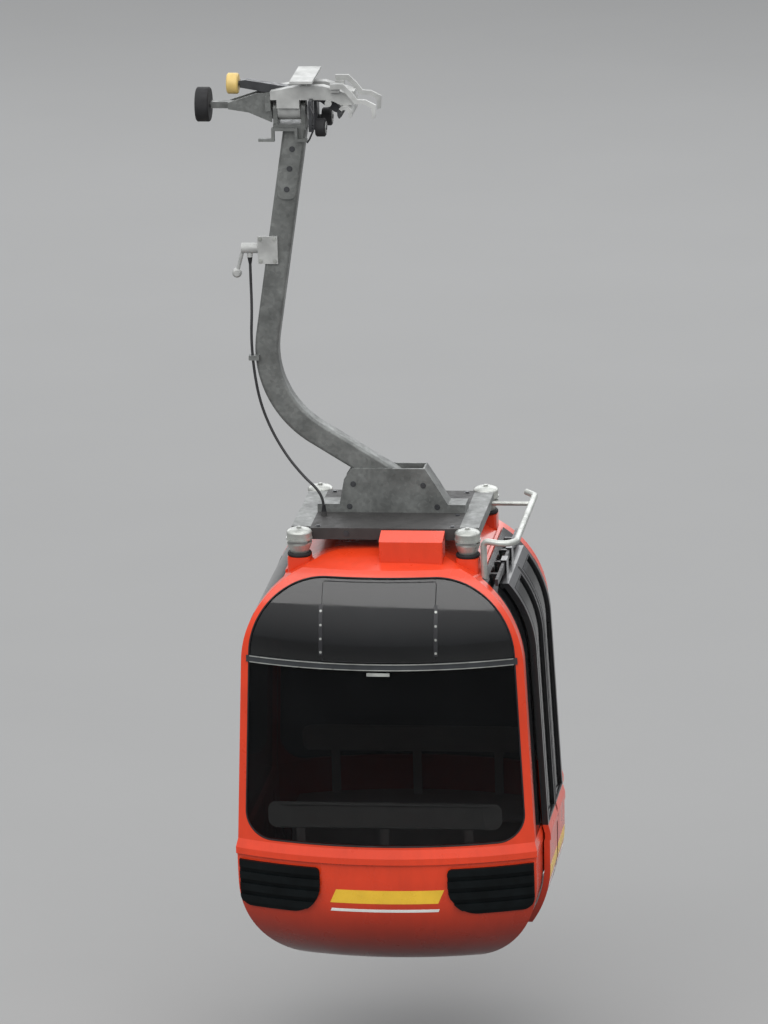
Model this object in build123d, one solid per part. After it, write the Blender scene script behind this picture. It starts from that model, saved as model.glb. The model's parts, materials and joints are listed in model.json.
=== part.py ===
from build123d import *
import os
from math import cos, radians, sin, tan

os.makedirs("parts", exist_ok=True)

# A four-seat cable car cabin on its hanger and detachable grip, in millimetres.
# X points across the line, from the hanger's upright towards the doors; Y runs along the rope;
# Z is up. The origin is on the rope's centre line, in the middle of the grip's jaws.

# Rope and jaws
ROPE_R = 20.0
JAW_LENGTH = 220.0
JAW_WALL = 17.0
JAW_PIN_X, JAW_PIN_Z, JAW_PIN_R = -84.0, 46.0, 17.0
JAW_HUB_R = 33.0
LEVER_HALF_T, LEVER_JOINT_X = 24.0, -190.0

# Grip body, its axle and its wheels
AXLE_X, AXLE_Z, AXLE_R = -285.0, 0.0, 24.0
HUB_R, HUB_LENGTH = 52.0, 112.0
LUG_THICK, LUG_GAP = 22.0, 2.0
LUG_DROP = 46.0
BODY_X0 = -372.0
BRIDGE_Z0, BRIDGE_Z1 = 62.0, 104.0
BODY_HALF_Y = 78.0
OUTER_WHEEL_X, OUTER_WHEEL_Z, OUTER_WHEEL_R, OUTER_WHEEL_W = -716.0, 22.0, 86.0, 68.0
ARM_HALF_Y, ARM_Z0, ARM_Z1, ARM_GAP = 20.0, 6.0, 38.0, 6.0
WEB_TIP_X, WEB_KNEE_X, WEB_T, WEB_IN_Y = -590.0, -450.0, 12.0, 28.0
GUIDE_T, GUIDE_Y = 14.0, 96.0
ROLLER_X, ROLLER_Z, ROLLER_R, ROLLER_W = -566.0, 128.0, 52.0, 56.0
INNER_WHEEL_X, INNER_WHEEL_Y, INNER_WHEEL_Z = -118.0, 118.0, -66.0
INNER_WHEEL_R, INNER_WHEEL_W = 45.0, 50.0
WHEEL_PIN_R, WHEEL_EDGE = 12.0, 6.0
FRICTION_PLATE = (112.0, 330.0, 12.0)
FRICTION_PLATE_X, FRICTION_PLATE_Z = -205.0, 176.0

# Hanger, a rectangular tube bent in the XZ plane
HANGER_W, HANGER_D, HANGER_WALL, HANGER_CORNER_R = 116.0, 96.0, 8.0, 16.0
HANGER_KNEE_X, HANGER_KNEE_Z, HANGER_BEND_R = -482.0, -1474.0, 500.0
HANGER_TOP_Z = -95.0
HANGER_TOP_X, HANGER_FOOT_X, HANGER_FOOT_Z = -257.5, 185.0, -1892.0
TONGUE_HALF_W, TONGUE_T, TONGUE_LOW_Z, TONGUE_R = 46.0, 12.0, -445.0, 34.0
STOP_TOP_Z, STOP_LOW_Z, STOP_T, STOP_Y0, STOP_Y1 = -78.0, -146.0, 14.0, -92.0, -66.0

# The lever that opens the doors in a station, and its cable down the hanger
LEVER_PLATE_X, LEVER_PLATE_Z = (-462.0, -362.0), (-775.0, -635.0)
LEVER_HOUSING_R, LEVER_HOUSING_X0, LEVER_HOUSING_Y = 26.0, -545.0, -34.0
LEVER_SHAFT_Z, LEVER_ARM_R = -700.0, 9.0
LEVER_END = (-572.0, -827.0)
LEVER_KNOB_R, LEVER_KNOB_W = 24.0, 30.0
GLAND_R, GLAND_LENGTH = 14.0, 24.0
CABLE_R = 7.0
CABLE_ROUTE = [
    (-505, -34, -745), (-505, -34, -855), (-502, -44, -1005), (-509, -58, -1165), (-499, -62, -1325),
    (-474, -60, -1485), (-420, -68, -1628), (-345, -84, -1755), (-262, -104, -1852), (-188, -124, -1915),
    (-160, -130, -1974), (-160, -130, -2026),
]
CLIP_X, CLIP_Y, CLIP_Z = (-522.0, -470.0), (-76.0, -40.0), (-1266.0, -1242.0)

# Cabin body: the section seen along the rope, and the profile seen from the side
CABIN_X = 170.0
ROOF_Z, EAVES_Z, BELT_Z, BOTTOM_Z = -2155.0, -2200.0, -3586.0, -4270.0
EAVES_X, BELT_X, SILL_X = 685.0, 744.0, 738.0
SHOULDER_R, BILGE_R = 540.0, 470.0
ROOF_END_Y, ROOF_END_Z = 548.0, -2208.0
CROWN_END_Y = 300.0
BROW_MID_Y, BROW_MID_Z = 668.0, -2390.0
BAR_Y, BAR_Z = 718.0, -2654.0
BELT_Y, CHIN_Y, CHIN_R = 765.0, 742.0, 420.0
PLAN_R, END_SWEEP_DEG = 1800.0, 130.0
SIDE_BULGE, END_BULGE, BELT_RISE, BELT_HEIGHT, BELT_STEP = 11.0, 17.0, 44.0, 76.0, 6.0
PANEL_PROUD, BELT_OVER = 6.0, 400.0
WALL, GLASS = 35.0, 8.0
RIM_FACE, RIM_SIDE, RIM_WALL = 42.0, 65.0, 30.0
WINDOW_TOP_Z, WINDOW_TOP_R, WINDOW_SILL, WINDOW_LOW_R = -2240.0, 400.0, 14.0, 130.0
PANE_DEPTH, PANE_REBATE = 6.0, 14.0
PANE_GAP, SEAM_SHIFT = 0.0, 114.0
ROOF_HALF_X, RIDGE_W, RIDGE_PROUD = 495.0, 12.0, 12.0
TRAY_Z, FLOOR_Z = -4080.0, -4112.0
BUMPER_X0, BUMPER_X1, BUMPER_Z0, BUMPER_Z1 = 320.0, 738.0, -3933.0, -3690.0
BUMPER_BASE, BUMPER_PROUD, BUMPER_RIBS, RIB_SHARE = 8.0, 20.0, 4, 0.62
BUMPER_IN_R, BUMPER_TOP_R, BUMPER_OUT_R = 150.0, 24.0, 60.0
BAR_HALF_HEIGHT, BAR_PROUD = 17.0, 6.0
VENT_HALF_W, VENT_LAP, VENT_PROUD, VENT_T = 281.0, 22.0, 8.0, 7.0
VENT_TOP_Z, VENT_GAP = -2256.0, 9.0
SEAL_INSET, SEAL_W = 4.0, 14.0

# Doors: two leaves hung outside the wall on a rail, sliding apart along Y
DOOR_HALF_W, POST_W, LEAF_LAP, LEAF_SPLIT = 315.0, 40.0, 22.0, 3.0
LEAF_CLEAR, LEAF_T, LEAF_RAIL, LEAF_GLASS, LEAF_REBATE = 8.0, 30.0, 44.0, 6.0, 12.0
LEAF_TOP_Z, LEAF_BOTTOM_Z = -2330.0, TRAY_Z - 18.0
DOOR_TOP_Z, DOOR_BOTTOM_Z = -2365.0, TRAY_Z
RAIL_W, RAIL_H, RAIL_HALF_Y, RAIL_Z, RAIL_OFF = 14.0, 34.0, 455.0, -2308.0, 20.0
RAIL_FOOT_W, RAIL_FOOT_H, RAIL_FOOT_REACH = 24.0, 14.0, 40.0
HOOK_Y, HOOK_HALF_Y, HOOK_T, HOOK_LAP = 110.0, 40.0, 8.0, 4.0
SLIDE_GAP = 0.1

# Suspension frame between the hanger and the roof
DAMPER_X, DAMPER_Y, DAMPER_R, STEM_R, STEM_FIT = 420.0, 390.0, 62.0, 40.0, 2.0
DAMPER_FOOT_R, DAMPER_FLANGE_R, DAMPER_FLANGE, DAMPER_FOOT = 43.0, 65.0, 10.0, 14.0
DAMPER_BASE_Z, DAMPER_TOP_Z, SEAT_Z = -2176.0, -2036.0, -2104.0
PAD_W, PAD_DEPTH, PAD_CORNER = 112.0, 80.0, 18.0
BEAM_W, DECK_Z, BEAM_PLATE, BEAM_CLEAR = 96.0, -2050.0, 10.0, 8.0
DECK_Y, DECK_T, DECK_LIP = 345.0, 10.0, 58.0
FOOT_HALF_Y, FOOT_BEAM_Z, FOOT_SINK = 60.0, -2008.0, 30.0
GUSSET_T, GUSSET_CORNER, STRAP_T = 12.0, 12.0, 10.0
FOOT_RISE = [(-90.0, -2008.0), (-65.0, -1880.0), (-30.0, -1826.0)]  # x, z up the outer side
FOOT_SLOPE = [(341.0, -1823.0), (401.0, -1919.0), (453.0, -2007.0)]  # x, z down the door side, under the strap
STRAP_DROP = 3.0
ROOF_BOX = (-14.0, 303.0, -470.0, -350.0)
ROOF_BOX_TOP_Z, ROOF_BOX_RISE, ROOF_BOX_R = -2084.0, 32.0, 10.0
BOW_R, BOW_Z, BOW_RUNG_Y, BOW_RUNG_R, BOW_ROOT_Z = 16.0, -2087.0, 250.0, 11.0, -2280.0
BOW_FOOT_X, BOW_FOOT_Y, BOW_FRONT_Y, BOW_REAR_Y, BOW_X = 502.0, 420.0, 500.0, 400.0, 666.0
BOW_END_X, BOW_END_Y = 618.0, 462.0

# Benches
SEAT_TOP_Z, SEAT_DEPTH, SEAT_T, SEAT_HALF_W, SEAT_BACK_Y = -3752.0, 400.0, 30.0, 610.0, 668.0
RISER_SET, RISER_T, SEAT_NOSE_R, SEAT_ROOT_R = 50.0, 20.0, 13.0, 24.0
BACK_TOP_Z, BACK_LOW_Z, BACK_Y, BACK_T, BACK_R = -3388.0, -3515.0, 652.0, 36.0, 40.0
BACK_HALF_W, BACK_POST_X, BACK_POST_W, BACK_POST_T = 585.0, 420.0, 44.0, 12.0

FAR = 3000.0
parts = {}


def box(x0, x1, y0, y1, z0, z1):
    """A block between two corners."""
    size = (abs(x1 - x0), abs(y1 - y0), abs(z1 - z0))
    return Pos((x0 + x1) / 2, (y0 + y1) / 2, (z0 + z1) / 2) * Box(*size)


def rod(start, end, radius):
    """A round bar from one point to another."""
    run = Vector(*end) - Vector(*start)
    return extrude(Plane(origin=start, z_dir=run) * Circle(radius), run.length)


def plate_xz(points, y0, y1, corner=0.0):
    """A flat plate with an outline in x and z, between two values of y."""
    face = make_face(Polyline(*points, close=True))
    if corner:
        face = fillet(face.vertices(), corner)
    return Pos(0, y0, 0) * extrude(Plane.XZ * face, -(y1 - y0))


def only(shape):
    """The largest solid of a shape, which drops crumbs left by a cut."""
    return max(shape.solids(), key=lambda s: s.volume)


# The cabin's outer form. It is the prism of the cross-section, cut by two ends that are
# turned about upright axes, so that each end wall bows outwards in plan.

def section(inset):
    """The plain cross-section, drawn in x and z, moved inwards by inset."""
    roof = ThreePointArc((-EAVES_X, EAVES_Z), (0, ROOF_Z), (EAVES_X, EAVES_Z))
    right = Polyline((EAVES_X, EAVES_Z), (BELT_X, BELT_Z), (SILL_X, BOTTOM_Z))
    left = Polyline((-EAVES_X, EAVES_Z), (-BELT_X, BELT_Z), (-SILL_X, BOTTOM_Z))
    base = Line((-SILL_X, BOTTOM_Z), (SILL_X, BOTTOM_Z))
    face = make_face([roof, *right.edges(), *left.edges(), base])
    rows = face.vertices().group_by(Axis.Y)
    face = fillet(rows[-1], SHOULDER_R)
    face = fillet(face.vertices().group_by(Axis.Y)[0], BILGE_R)
    return offset(face, amount=-inset, kind=Kind.INTERSECTION) if inset else face


def side_x(z):
    """Half the width between the straight side lines of the section, at a height above the belt."""
    return EAVES_X + (BELT_X - EAVES_X) * (EAVES_Z - z) / (EAVES_Z - BELT_Z)


def window_outline(grow=0.0):
    """An end window seen along the rope: wide arcs above, smaller ones below, grown by grow."""
    low_z = BELT_Z + WINDOW_SILL
    top_x, low_x = side_x(WINDOW_TOP_Z) - RIM_FACE, side_x(low_z) - RIM_FACE
    corners = [(-top_x, WINDOW_TOP_Z), (top_x, WINDOW_TOP_Z), (low_x, low_z), (-low_x, low_z)]
    face = make_face(Polyline(*corners, close=True))
    face = fillet(face.vertices().group_by(Axis.Y)[-1], WINDOW_TOP_R)
    face = fillet(face.vertices().group_by(Axis.Y)[0], WINDOW_LOW_R)
    return offset(face, amount=grow) if grow else face


def low_section(grow=0.0):
    """The cross-section below the windows, with the belt moulding, grown outwards by grow."""
    side = [
        (BELT_X + grow, BELT_Z + BELT_OVER),
        (BELT_X + grow, BELT_Z),
        (BELT_X + SIDE_BULGE + grow, BELT_Z - BELT_RISE),
        (BELT_X + SIDE_BULGE + grow, BELT_Z - BELT_HEIGHT),
        (BELT_X + PANEL_PROUD + grow, BELT_Z - BELT_HEIGHT - BELT_STEP),
        (SILL_X + PANEL_PROUD + grow, BOTTOM_Z - grow),
    ]
    outline = Polyline(*side, *[(-x, z) for x, z in reversed(side)], close=True)
    face = make_face(outline)
    return fillet(face.vertices().group_by(Axis.Y)[0], BILGE_R + grow)


def prism(face):
    """A cross-section drawn in x and z, run along the whole cabin."""
    return extrude(Plane.XZ * face, FAR / 2, both=True)


def turned_end(outline):
    """What lies between two end walls, each turned about its own upright axis."""
    axis_y = PLAN_R - BELT_Y
    turn = radians(-90 - END_SWEEP_DEG / 2)
    out = (cos(turn), sin(turn), 0)
    origin = (axis_y * out[0], axis_y + axis_y * out[1], 0)
    plane = Plane(origin=origin, x_dir=out, z_dir=(out[1], -out[0], 0))
    sector = revolve(plane * outline, Axis((0, axis_y, 0), (0, 0, 1)), END_SWEEP_DEG)
    front = sector & box(-FAR, FAR, -FAR, 0, 2 * BOTTOM_Z, FAR)
    return front + mirror(front, about=Plane.XZ)


def end_outline(inset):
    """The plain end profile in distance from mid-cabin and z, from the turning axis outwards."""
    axis = BELT_Y - PLAN_R
    top = ROOF_Z + 8 - inset
    low = BOTTOM_Z + inset
    crown = (CROWN_END_Y - 0.1 * inset, top)
    roof_end = (ROOF_END_Y - 0.55 * inset, ROOF_END_Z - 0.85 * inset)
    brow = (BROW_MID_Y - 0.94 * inset, BROW_MID_Z - 0.34 * inset)
    bar = (BAR_Y - inset, BAR_Z)
    belt = (BELT_Y - inset, BELT_Z)
    chin = (CHIN_Y - inset, low)
    edge = [
        Line((axis, top), crown),
        Line(crown, roof_end),
        ThreePointArc(roof_end, brow, bar),
        Line(bar, belt),
        Line(belt, chin),
        Line(chin, (axis, low)),
        Line((axis, low), (axis, top)),
    ]
    face = make_face(edge)
    corner = [v for v in face.vertices() if abs(v.X - chin[0]) < 1 and abs(v.Y - low) < 1]
    return fillet(corner, CHIN_R - inset)


def low_end_outline(grow=0.0):
    """The end profile below the windows, with the belt moulding, grown outwards by grow."""
    axis = BELT_Y - PLAN_R
    points = [
        (axis, BELT_Z + BELT_OVER),
        (BELT_Y + grow, BELT_Z + BELT_OVER),
        (BELT_Y + grow, BELT_Z),
        (BELT_Y + END_BULGE + grow, BELT_Z - BELT_RISE),
        (BELT_Y + END_BULGE + grow, BELT_Z - BELT_HEIGHT),
        (BELT_Y + PANEL_PROUD + grow, BELT_Z - BELT_HEIGHT - BELT_STEP),
        (CHIN_Y + PANEL_PROUD + grow, BOTTOM_Z - grow),
        (axis, BOTTOM_Z - grow),
    ]
    face = make_face(Polyline(*points, close=True))
    low = BOTTOM_Z - grow + 1
    chin = [v for v in face.vertices() if v.X > CHIN_Y and v.Y < low]
    return fillet(chin, CHIN_R + grow)


def between_ends(shift):
    """Everything between the two end frames: each end wall's line moved inwards by shift."""
    axis = BELT_Y - PLAN_R
    edge = [
        Line((axis, 0), (ROOF_END_Y - shift, 0)),
        Line((ROOF_END_Y - shift, 0), (ROOF_END_Y - shift, ROOF_END_Z)),
        ThreePointArc(
            (ROOF_END_Y - shift, ROOF_END_Z), (BROW_MID_Y - shift, BROW_MID_Z), (BAR_Y - shift, BAR_Z)
        ),
        Line((BAR_Y - shift, BAR_Z), (BELT_Y - shift, BELT_Z)),
        Line((BELT_Y - shift, BELT_Z), (BELT_Y - shift, 2 * BOTTOM_Z)),
        Line((BELT_Y - shift, 2 * BOTTOM_Z), (axis, 2 * BOTTOM_Z)),
        Line((axis, 2 * BOTTOM_Z), (axis, 0)),
    ]
    return turned_end(make_face(edge))


def plain(side, end):
    """The cabin's plain form with its sides and roof moved in by side and its ends by end."""
    return prism(section(side)) & turned_end(end_outline(end))


above_belt = box(-FAR, FAR, -FAR, FAR, BELT_Z, 0)
below_belt = box(-FAR, FAR, -FAR, FAR, 2 * BOTTOM_Z, BELT_Z)
front_half = box(-FAR, FAR, -FAR, 0, 2 * BOTTOM_Z, 0)
left_half = box(-FAR, 0, -FAR, FAR, 2 * BOTTOM_Z, 0)
right_half = box(0, FAR, -FAR, FAR, 2 * BOTTOM_Z, 0)


def half_width(z, face):
    """Half the width of a cross-section at one height."""
    row = face & (Pos(0, z) * Rectangle(FAR, 0.02))
    return row.bounding_box().max.X


shell = plain(0, 0)
outer_section = section(0)
low_form = prism(low_section()) & turned_end(low_end_outline())
core = plain(WALL, WALL)
end_line = between_ends(RIM_SIDE)
side_line = between_ends(RIM_SIDE + PANE_GAP)
side_skin = shell - plain(GLASS, GLASS)
side_wall = shell - core


def put(name, shape, move=None):
    """Keep a part under its name, moved from the cabin's own centre when asked."""
    parts[name] = (move * shape) if move else shape


cabin = Pos(CABIN_X, 0, 0)
back = Plane.XZ


# Cabin above the belt

frames = (shell & above_belt) - plain(RIM_WALL, RIM_WALL) - prism(window_outline()) - end_line
pane_skin = turned_end(end_outline(PANE_DEPTH)) - turned_end(end_outline(PANE_DEPTH + GLASS))
window_form = prism(window_outline(PANE_REBATE))
pane_field = pane_skin & window_form & box(-FAR, FAR, -FAR, 0, BELT_Z, ROOF_Z)
pane_field -= end_line
vent_x, vent_z0 = VENT_HALF_W - VENT_LAP, BAR_Z + BAR_HALF_HEIGHT + VENT_GAP
vent_hole = box(-vent_x, vent_x, -FAR, 0, vent_z0 + VENT_LAP, VENT_TOP_Z - VENT_LAP)
top_pane = pane_field & box(-FAR, FAR, -FAR, -CROWN_END_Y, BAR_Z + BAR_HALF_HEIGHT, ROOF_Z)
top_pane = only(top_pane - vent_hole - frames)
low_pane = only((pane_field & box(-FAR, FAR, -FAR, 0, BELT_Z, BAR_Z - BAR_HALF_HEIGHT)) - frames)
bar_skin = turned_end(end_outline(-BAR_PROUD)) - turned_end(end_outline(RIM_WALL))
bar_z = (BAR_Z - BAR_HALF_HEIGHT + 0.5, BAR_Z + BAR_HALF_HEIGHT - 0.5)
end_bar = only((bar_skin & window_form & box(-FAR, FAR, -FAR, 0, *bar_z)) - frames)
vent_skin = turned_end(end_outline(-VENT_PROUD)) - turned_end(end_outline(-VENT_PROUD + VENT_T))
seal_skin = turned_end(end_outline(-VENT_PROUD + VENT_T)) - turned_end(end_outline(PANE_DEPTH))


def vent_zone(inset):
    """The vent flap's rectangle at the front end, moved inwards by inset."""
    x = VENT_HALF_W - inset
    return box(-x, x, -FAR, -CROWN_END_Y, vent_z0 + inset, VENT_TOP_Z - inset)


seal = seal_skin & (vent_zone(SEAL_INSET) - vent_zone(SEAL_INSET + SEAL_W))
vent = only((vent_skin & vent_zone(0)) + seal)

front_frame = only(frames & front_half)
for end, turn in (("front", None), ("rear", back)):
    items = (
        ("end_frame", front_frame),
        ("top_window", top_pane),
        ("main_window", low_pane),
        ("window_bar", end_bar),
        ("vent_flap", vent),
    )
    for name, shape in items:
        put(f"{end}_{name}", mirror(shape, about=turn) if turn else shape, cabin)

# The roof has a raised drip ridge along each side and a pad under each damper
roof_zone = box(-ROOF_HALF_X, ROOF_HALF_X, -FAR, FAR, BELT_Z, 0)
roof = side_wall & roof_zone & side_line
ridge_zone = roof_zone - box(-ROOF_HALF_X + RIDGE_W, ROOF_HALF_X - RIDGE_W, -FAR, FAR, BELT_Z, 0)
raised = prism(offset(outer_section, amount=RIDGE_PROUD, kind=Kind.INTERSECTION) - section(PANE_DEPTH))
roof += raised & ridge_zone & box(-FAR, FAR, -DAMPER_Y, DAMPER_Y, EAVES_Z - PAD_DEPTH, 0)
for x in (-DAMPER_X, DAMPER_X):
    for y in (-DAMPER_Y, DAMPER_Y):
        pad = Pos(x, y, DAMPER_BASE_Z - PAD_DEPTH) * RectangleRounded(PAD_W, PAD_W, PAD_CORNER)
        roof += extrude(pad, PAD_DEPTH)
roof = only(roof - core - frames)
put("roof_panel", roof, cabin)
left_zone = box(-FAR, -ROOF_HALF_X - PANE_GAP, -FAR, FAR, BELT_Z, 0)
put("left_window", only(side_skin & left_zone & side_line), cabin)

# The right side is a frame round the doorway, with a narrow fixed pane at each side of it
right_zone = box(ROOF_HALF_X + PANE_GAP, FAR, -FAR, FAR, BELT_Z, 0)
post_y = DOOR_HALF_W + POST_W
posts = side_wall & right_zone & box(0, FAR, -post_y, post_y, BELT_Z, 0)
doorway = box(0, FAR, -DOOR_HALF_W, DOOR_HALF_W, DOOR_BOTTOM_Z, DOOR_TOP_Z)
put("doorway_frame", only(posts - doorway), cabin)
side_pane = side_skin & right_zone & box(0, FAR, -FAR, -post_y, BELT_Z, 0)
side_pane = only(side_pane & side_line)
put("right_front_window", side_pane, cabin)
put("right_rear_window", mirror(side_pane, about=back), cabin)


# Cabin below the belt

low_shell = (low_form - core) & below_belt
corner_z = box(-FAR, FAR, -FAR, FAR, TRAY_Z, BELT_Z)
low_sides = low_shell & corner_z & between_ends(SEAM_SHIFT)
low_ends = (low_shell & corner_z) - between_ends(SEAM_SHIFT - PANE_GAP)
end_panel = only(low_ends & front_half)
put("front_panel", end_panel, cabin)
put("rear_panel", mirror(end_panel, about=back), cabin)
put("left_panel", only(low_sides & left_half), cabin)
right_panel = (low_sides & right_half) - doorway
right_front = only(right_panel & front_half)
put("right_front_panel", right_front, cabin)
put("right_rear_panel", mirror(right_front, about=back), cabin)
floor = (low_form & box(-FAR, FAR, -FAR, FAR, 2 * BOTTOM_Z, TRAY_Z)) - (core & box(-FAR, FAR, -FAR, FAR, FLOOR_Z, 0))
put("floor_pan", only(floor), cabin)

# Each bumper is a thin base with rounded corners that carries level ribs
corners = [
    (-BUMPER_X1, BUMPER_Z1, 0), (-BUMPER_X0, BUMPER_Z1, BUMPER_TOP_R),
    (-BUMPER_X0, BUMPER_Z0, BUMPER_IN_R), (-BUMPER_X1, BUMPER_Z0, BUMPER_OUT_R),
]  # x, z, radius
face = make_face(Polyline(*[(x, z) for x, z, r in corners], close=True))
for x, z, r in corners:
    if r:
        face = fillet([v for v in face.vertices() if abs(v.X - x) < 1 and abs(v.Y - z) < 1], r)
bumper_zone = extrude(Plane.XZ * face, FAR)
low_prism = prism(low_section())


def bumper_skin(proud):
    """A skin on the end panel, as far out as proud, within the bumper's outline."""
    skin = turned_end(low_end_outline(proud)) - turned_end(low_end_outline())
    return skin & bumper_zone & low_prism


pitch = (BUMPER_Z1 - BUMPER_Z0) / BUMPER_RIBS
ribs = box(-FAR, 0, -FAR, 0, BUMPER_Z1 - RIB_SHARE * pitch, BUMPER_Z1)
for i in range(1, BUMPER_RIBS):
    ribs += Pos(0, 0, -i * pitch) * box(-FAR, 0, -FAR, 0, BUMPER_Z1 - RIB_SHARE * pitch, BUMPER_Z1)
bumper = only(bumper_skin(BUMPER_BASE) + (bumper_skin(BUMPER_PROUD) & ribs))
for side, flip in (("left", None), ("right", Plane.YZ)):
    for end, turn in (("front", None), ("rear", back)):
        shape = mirror(bumper, about=flip) if flip else bumper
        shape = mirror(shape, about=turn) if turn else shape
        put(f"{end}_{side}_bumper", shape, cabin)


# Doors

def side_band(gap, thick):
    """A skin that follows the side wall and its belt at a gap outside it."""
    upper = offset(outer_section, amount=gap + thick, kind=Kind.INTERSECTION)
    inner = offset(outer_section, amount=gap, kind=Kind.INTERSECTION)
    top = (prism(upper) - prism(inner)) & above_belt
    low = (prism(low_section(gap + thick)) - prism(low_section(gap))) & below_belt
    return (top + low) & right_half


band = side_band(LEAF_CLEAR, LEAF_T)
leaf_y = (-DOOR_HALF_W - LEAF_LAP, -LEAF_SPLIT / 2)
leaf = only(band & box(0, FAR, *leaf_y, LEAF_BOTTOM_Z, LEAF_TOP_Z))
glazing = box(0, FAR, leaf_y[0] + LEAF_RAIL, leaf_y[1] - LEAF_RAIL, BELT_Z + 16, LEAF_TOP_Z - 40)
leaf_glass = only(side_band(LEAF_CLEAR + LEAF_REBATE, LEAF_GLASS) & glazing)
leaf = only(leaf - glazing)
rail_x = half_width(RAIL_Z, outer_section) + RAIL_OFF
rail = box(rail_x, rail_x + RAIL_W, -RAIL_HALF_Y, RAIL_HALF_Y, RAIL_Z, RAIL_Z + RAIL_H)
foot_z = RAIL_Z + (RAIL_H - RAIL_FOOT_H) / 2
for y in (-DOOR_HALF_W, -DOOR_HALF_W / 3, DOOR_HALF_W / 3, DOOR_HALF_W):
    foot_y = (y - RAIL_FOOT_W / 2, y + RAIL_FOOT_W / 2)
    rail += box(rail_x - RAIL_FOOT_REACH, rail_x + 1, *foot_y, foot_z, foot_z + RAIL_FOOT_H)
rail = only(rail - prism(outer_section))
put("door_rail", rail, cabin)
hook_y = (-HOOK_Y - HOOK_HALF_Y, -HOOK_Y + HOOK_HALF_Y)
hook_top = RAIL_Z + RAIL_H + SLIDE_GAP
hook_x = rail_x + RAIL_W + HOOK_T
hook = box(rail_x - HOOK_T, hook_x, *hook_y, hook_top, hook_top + HOOK_T)
hook += box(rail_x + RAIL_W + SLIDE_GAP, hook_x, *hook_y, LEAF_TOP_Z - HOOK_LAP, hook_top + 1)
leaf = only(leaf + hook)
for end, turn in (("front", None), ("rear", back)):
    put(f"{end}_door", mirror(leaf, about=turn) if turn else leaf, cabin)
    put(f"{end}_door_glass", mirror(leaf_glass, about=turn) if turn else leaf_glass, cabin)


# Benches inside, one at each end

# A bench is a moulded seat on a riser, with a padded rail for the back on three posts
nose_y = SEAT_DEPTH - SEAT_BACK_Y
riser_y = nose_y - RISER_SET
seat_z = SEAT_TOP_Z - SEAT_T
side_view = [
    (-FAR, SEAT_TOP_Z, 0), (nose_y, SEAT_TOP_Z, SEAT_NOSE_R), (nose_y, seat_z, SEAT_NOSE_R),
    (riser_y, seat_z, 0), (riser_y, FLOOR_Z, 0), (riser_y - RISER_T, FLOOR_Z, 0),
    (riser_y - RISER_T, seat_z, SEAT_ROOT_R), (-FAR, seat_z, 0),
]  # y, z, radius
face = make_face(Polyline(*[(y, z) for y, z, r in side_view], close=True))
for y, z, r in side_view:
    if r:
        face = fillet([v for v in face.vertices() if abs(v.X - y) < 1 and abs(v.Y - z) < 1], r)
seat = extrude(Plane.YZ * face, SEAT_HALF_W, both=True)
back_face = Pos(0, (BACK_TOP_Z + BACK_LOW_Z) / 2) * RectangleRounded(2 * BACK_HALF_W, BACK_TOP_Z - BACK_LOW_Z, BACK_R)
backrest = Pos(0, -BACK_Y, 0) * extrude(Plane.XZ * back_face, -BACK_T)
for x in (-BACK_POST_X, 0, BACK_POST_X):
    backrest += box(
        x - BACK_POST_W / 2, x + BACK_POST_W / 2, -BACK_Y, -BACK_Y + BACK_POST_T, seat_z, BACK_LOW_Z + BACK_R
    )
bench = only((seat + backrest) & core)
for end, turn in (("front", None), ("rear", back)):
    put(f"{end}_bench", mirror(bench, about=turn) if turn else bench, cabin)


# Suspension frame

inner_x, outer_x = DAMPER_X - BEAM_W / 2, DAMPER_X + BEAM_W / 2
for side, x in (("left", -DAMPER_X), ("right", DAMPER_X)):
    x0, x1 = x - BEAM_W / 2, x + BEAM_W / 2
    reach = DAMPER_Y + DAMPER_R
    beam = box(x0, x1, -reach, reach, SEAT_Z, SEAT_Z + BEAM_PLATE)
    clear_y = DAMPER_Y - DAMPER_FLANGE_R - BEAM_CLEAR
    beam += box(x0, x1, -clear_y, clear_y, SEAT_Z, DECK_Z)
    for y in (-DAMPER_Y, DAMPER_Y):
        beam -= Pos(x, y, SEAT_Z) * Cylinder(STEM_R + STEM_FIT, 4 * BEAM_PLATE)
    put(f"{side}_side_beam", only(beam), cabin)
bow_seat = beam
cap_z = SEAT_Z + BEAM_PLATE
damper_line = [
    (0, DAMPER_BASE_Z),
    (DAMPER_FOOT_R, DAMPER_BASE_Z),
    (DAMPER_FOOT_R, DAMPER_BASE_Z + DAMPER_FOOT),
    (DAMPER_R, SEAT_Z - DAMPER_FLANGE),
    (DAMPER_R, SEAT_Z),
    (STEM_R, SEAT_Z),
    (STEM_R, cap_z),
    (DAMPER_FLANGE_R, cap_z),
    (DAMPER_FLANGE_R, cap_z + DAMPER_FLANGE),
    (DAMPER_R, cap_z + DAMPER_FLANGE),
    (DAMPER_R, DAMPER_TOP_Z - 0.30 * DAMPER_R),
    (0.74 * DAMPER_R, DAMPER_TOP_Z - 0.09 * DAMPER_R),
    (0.35 * DAMPER_R, DAMPER_TOP_Z),
    (0, DAMPER_TOP_Z),
]
damper = revolve(Plane.XZ * make_face(Polyline(*damper_line, close=True)), Axis.Z)
gland_x, gland_y, gland_z = CABLE_ROUTE[-1]
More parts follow.
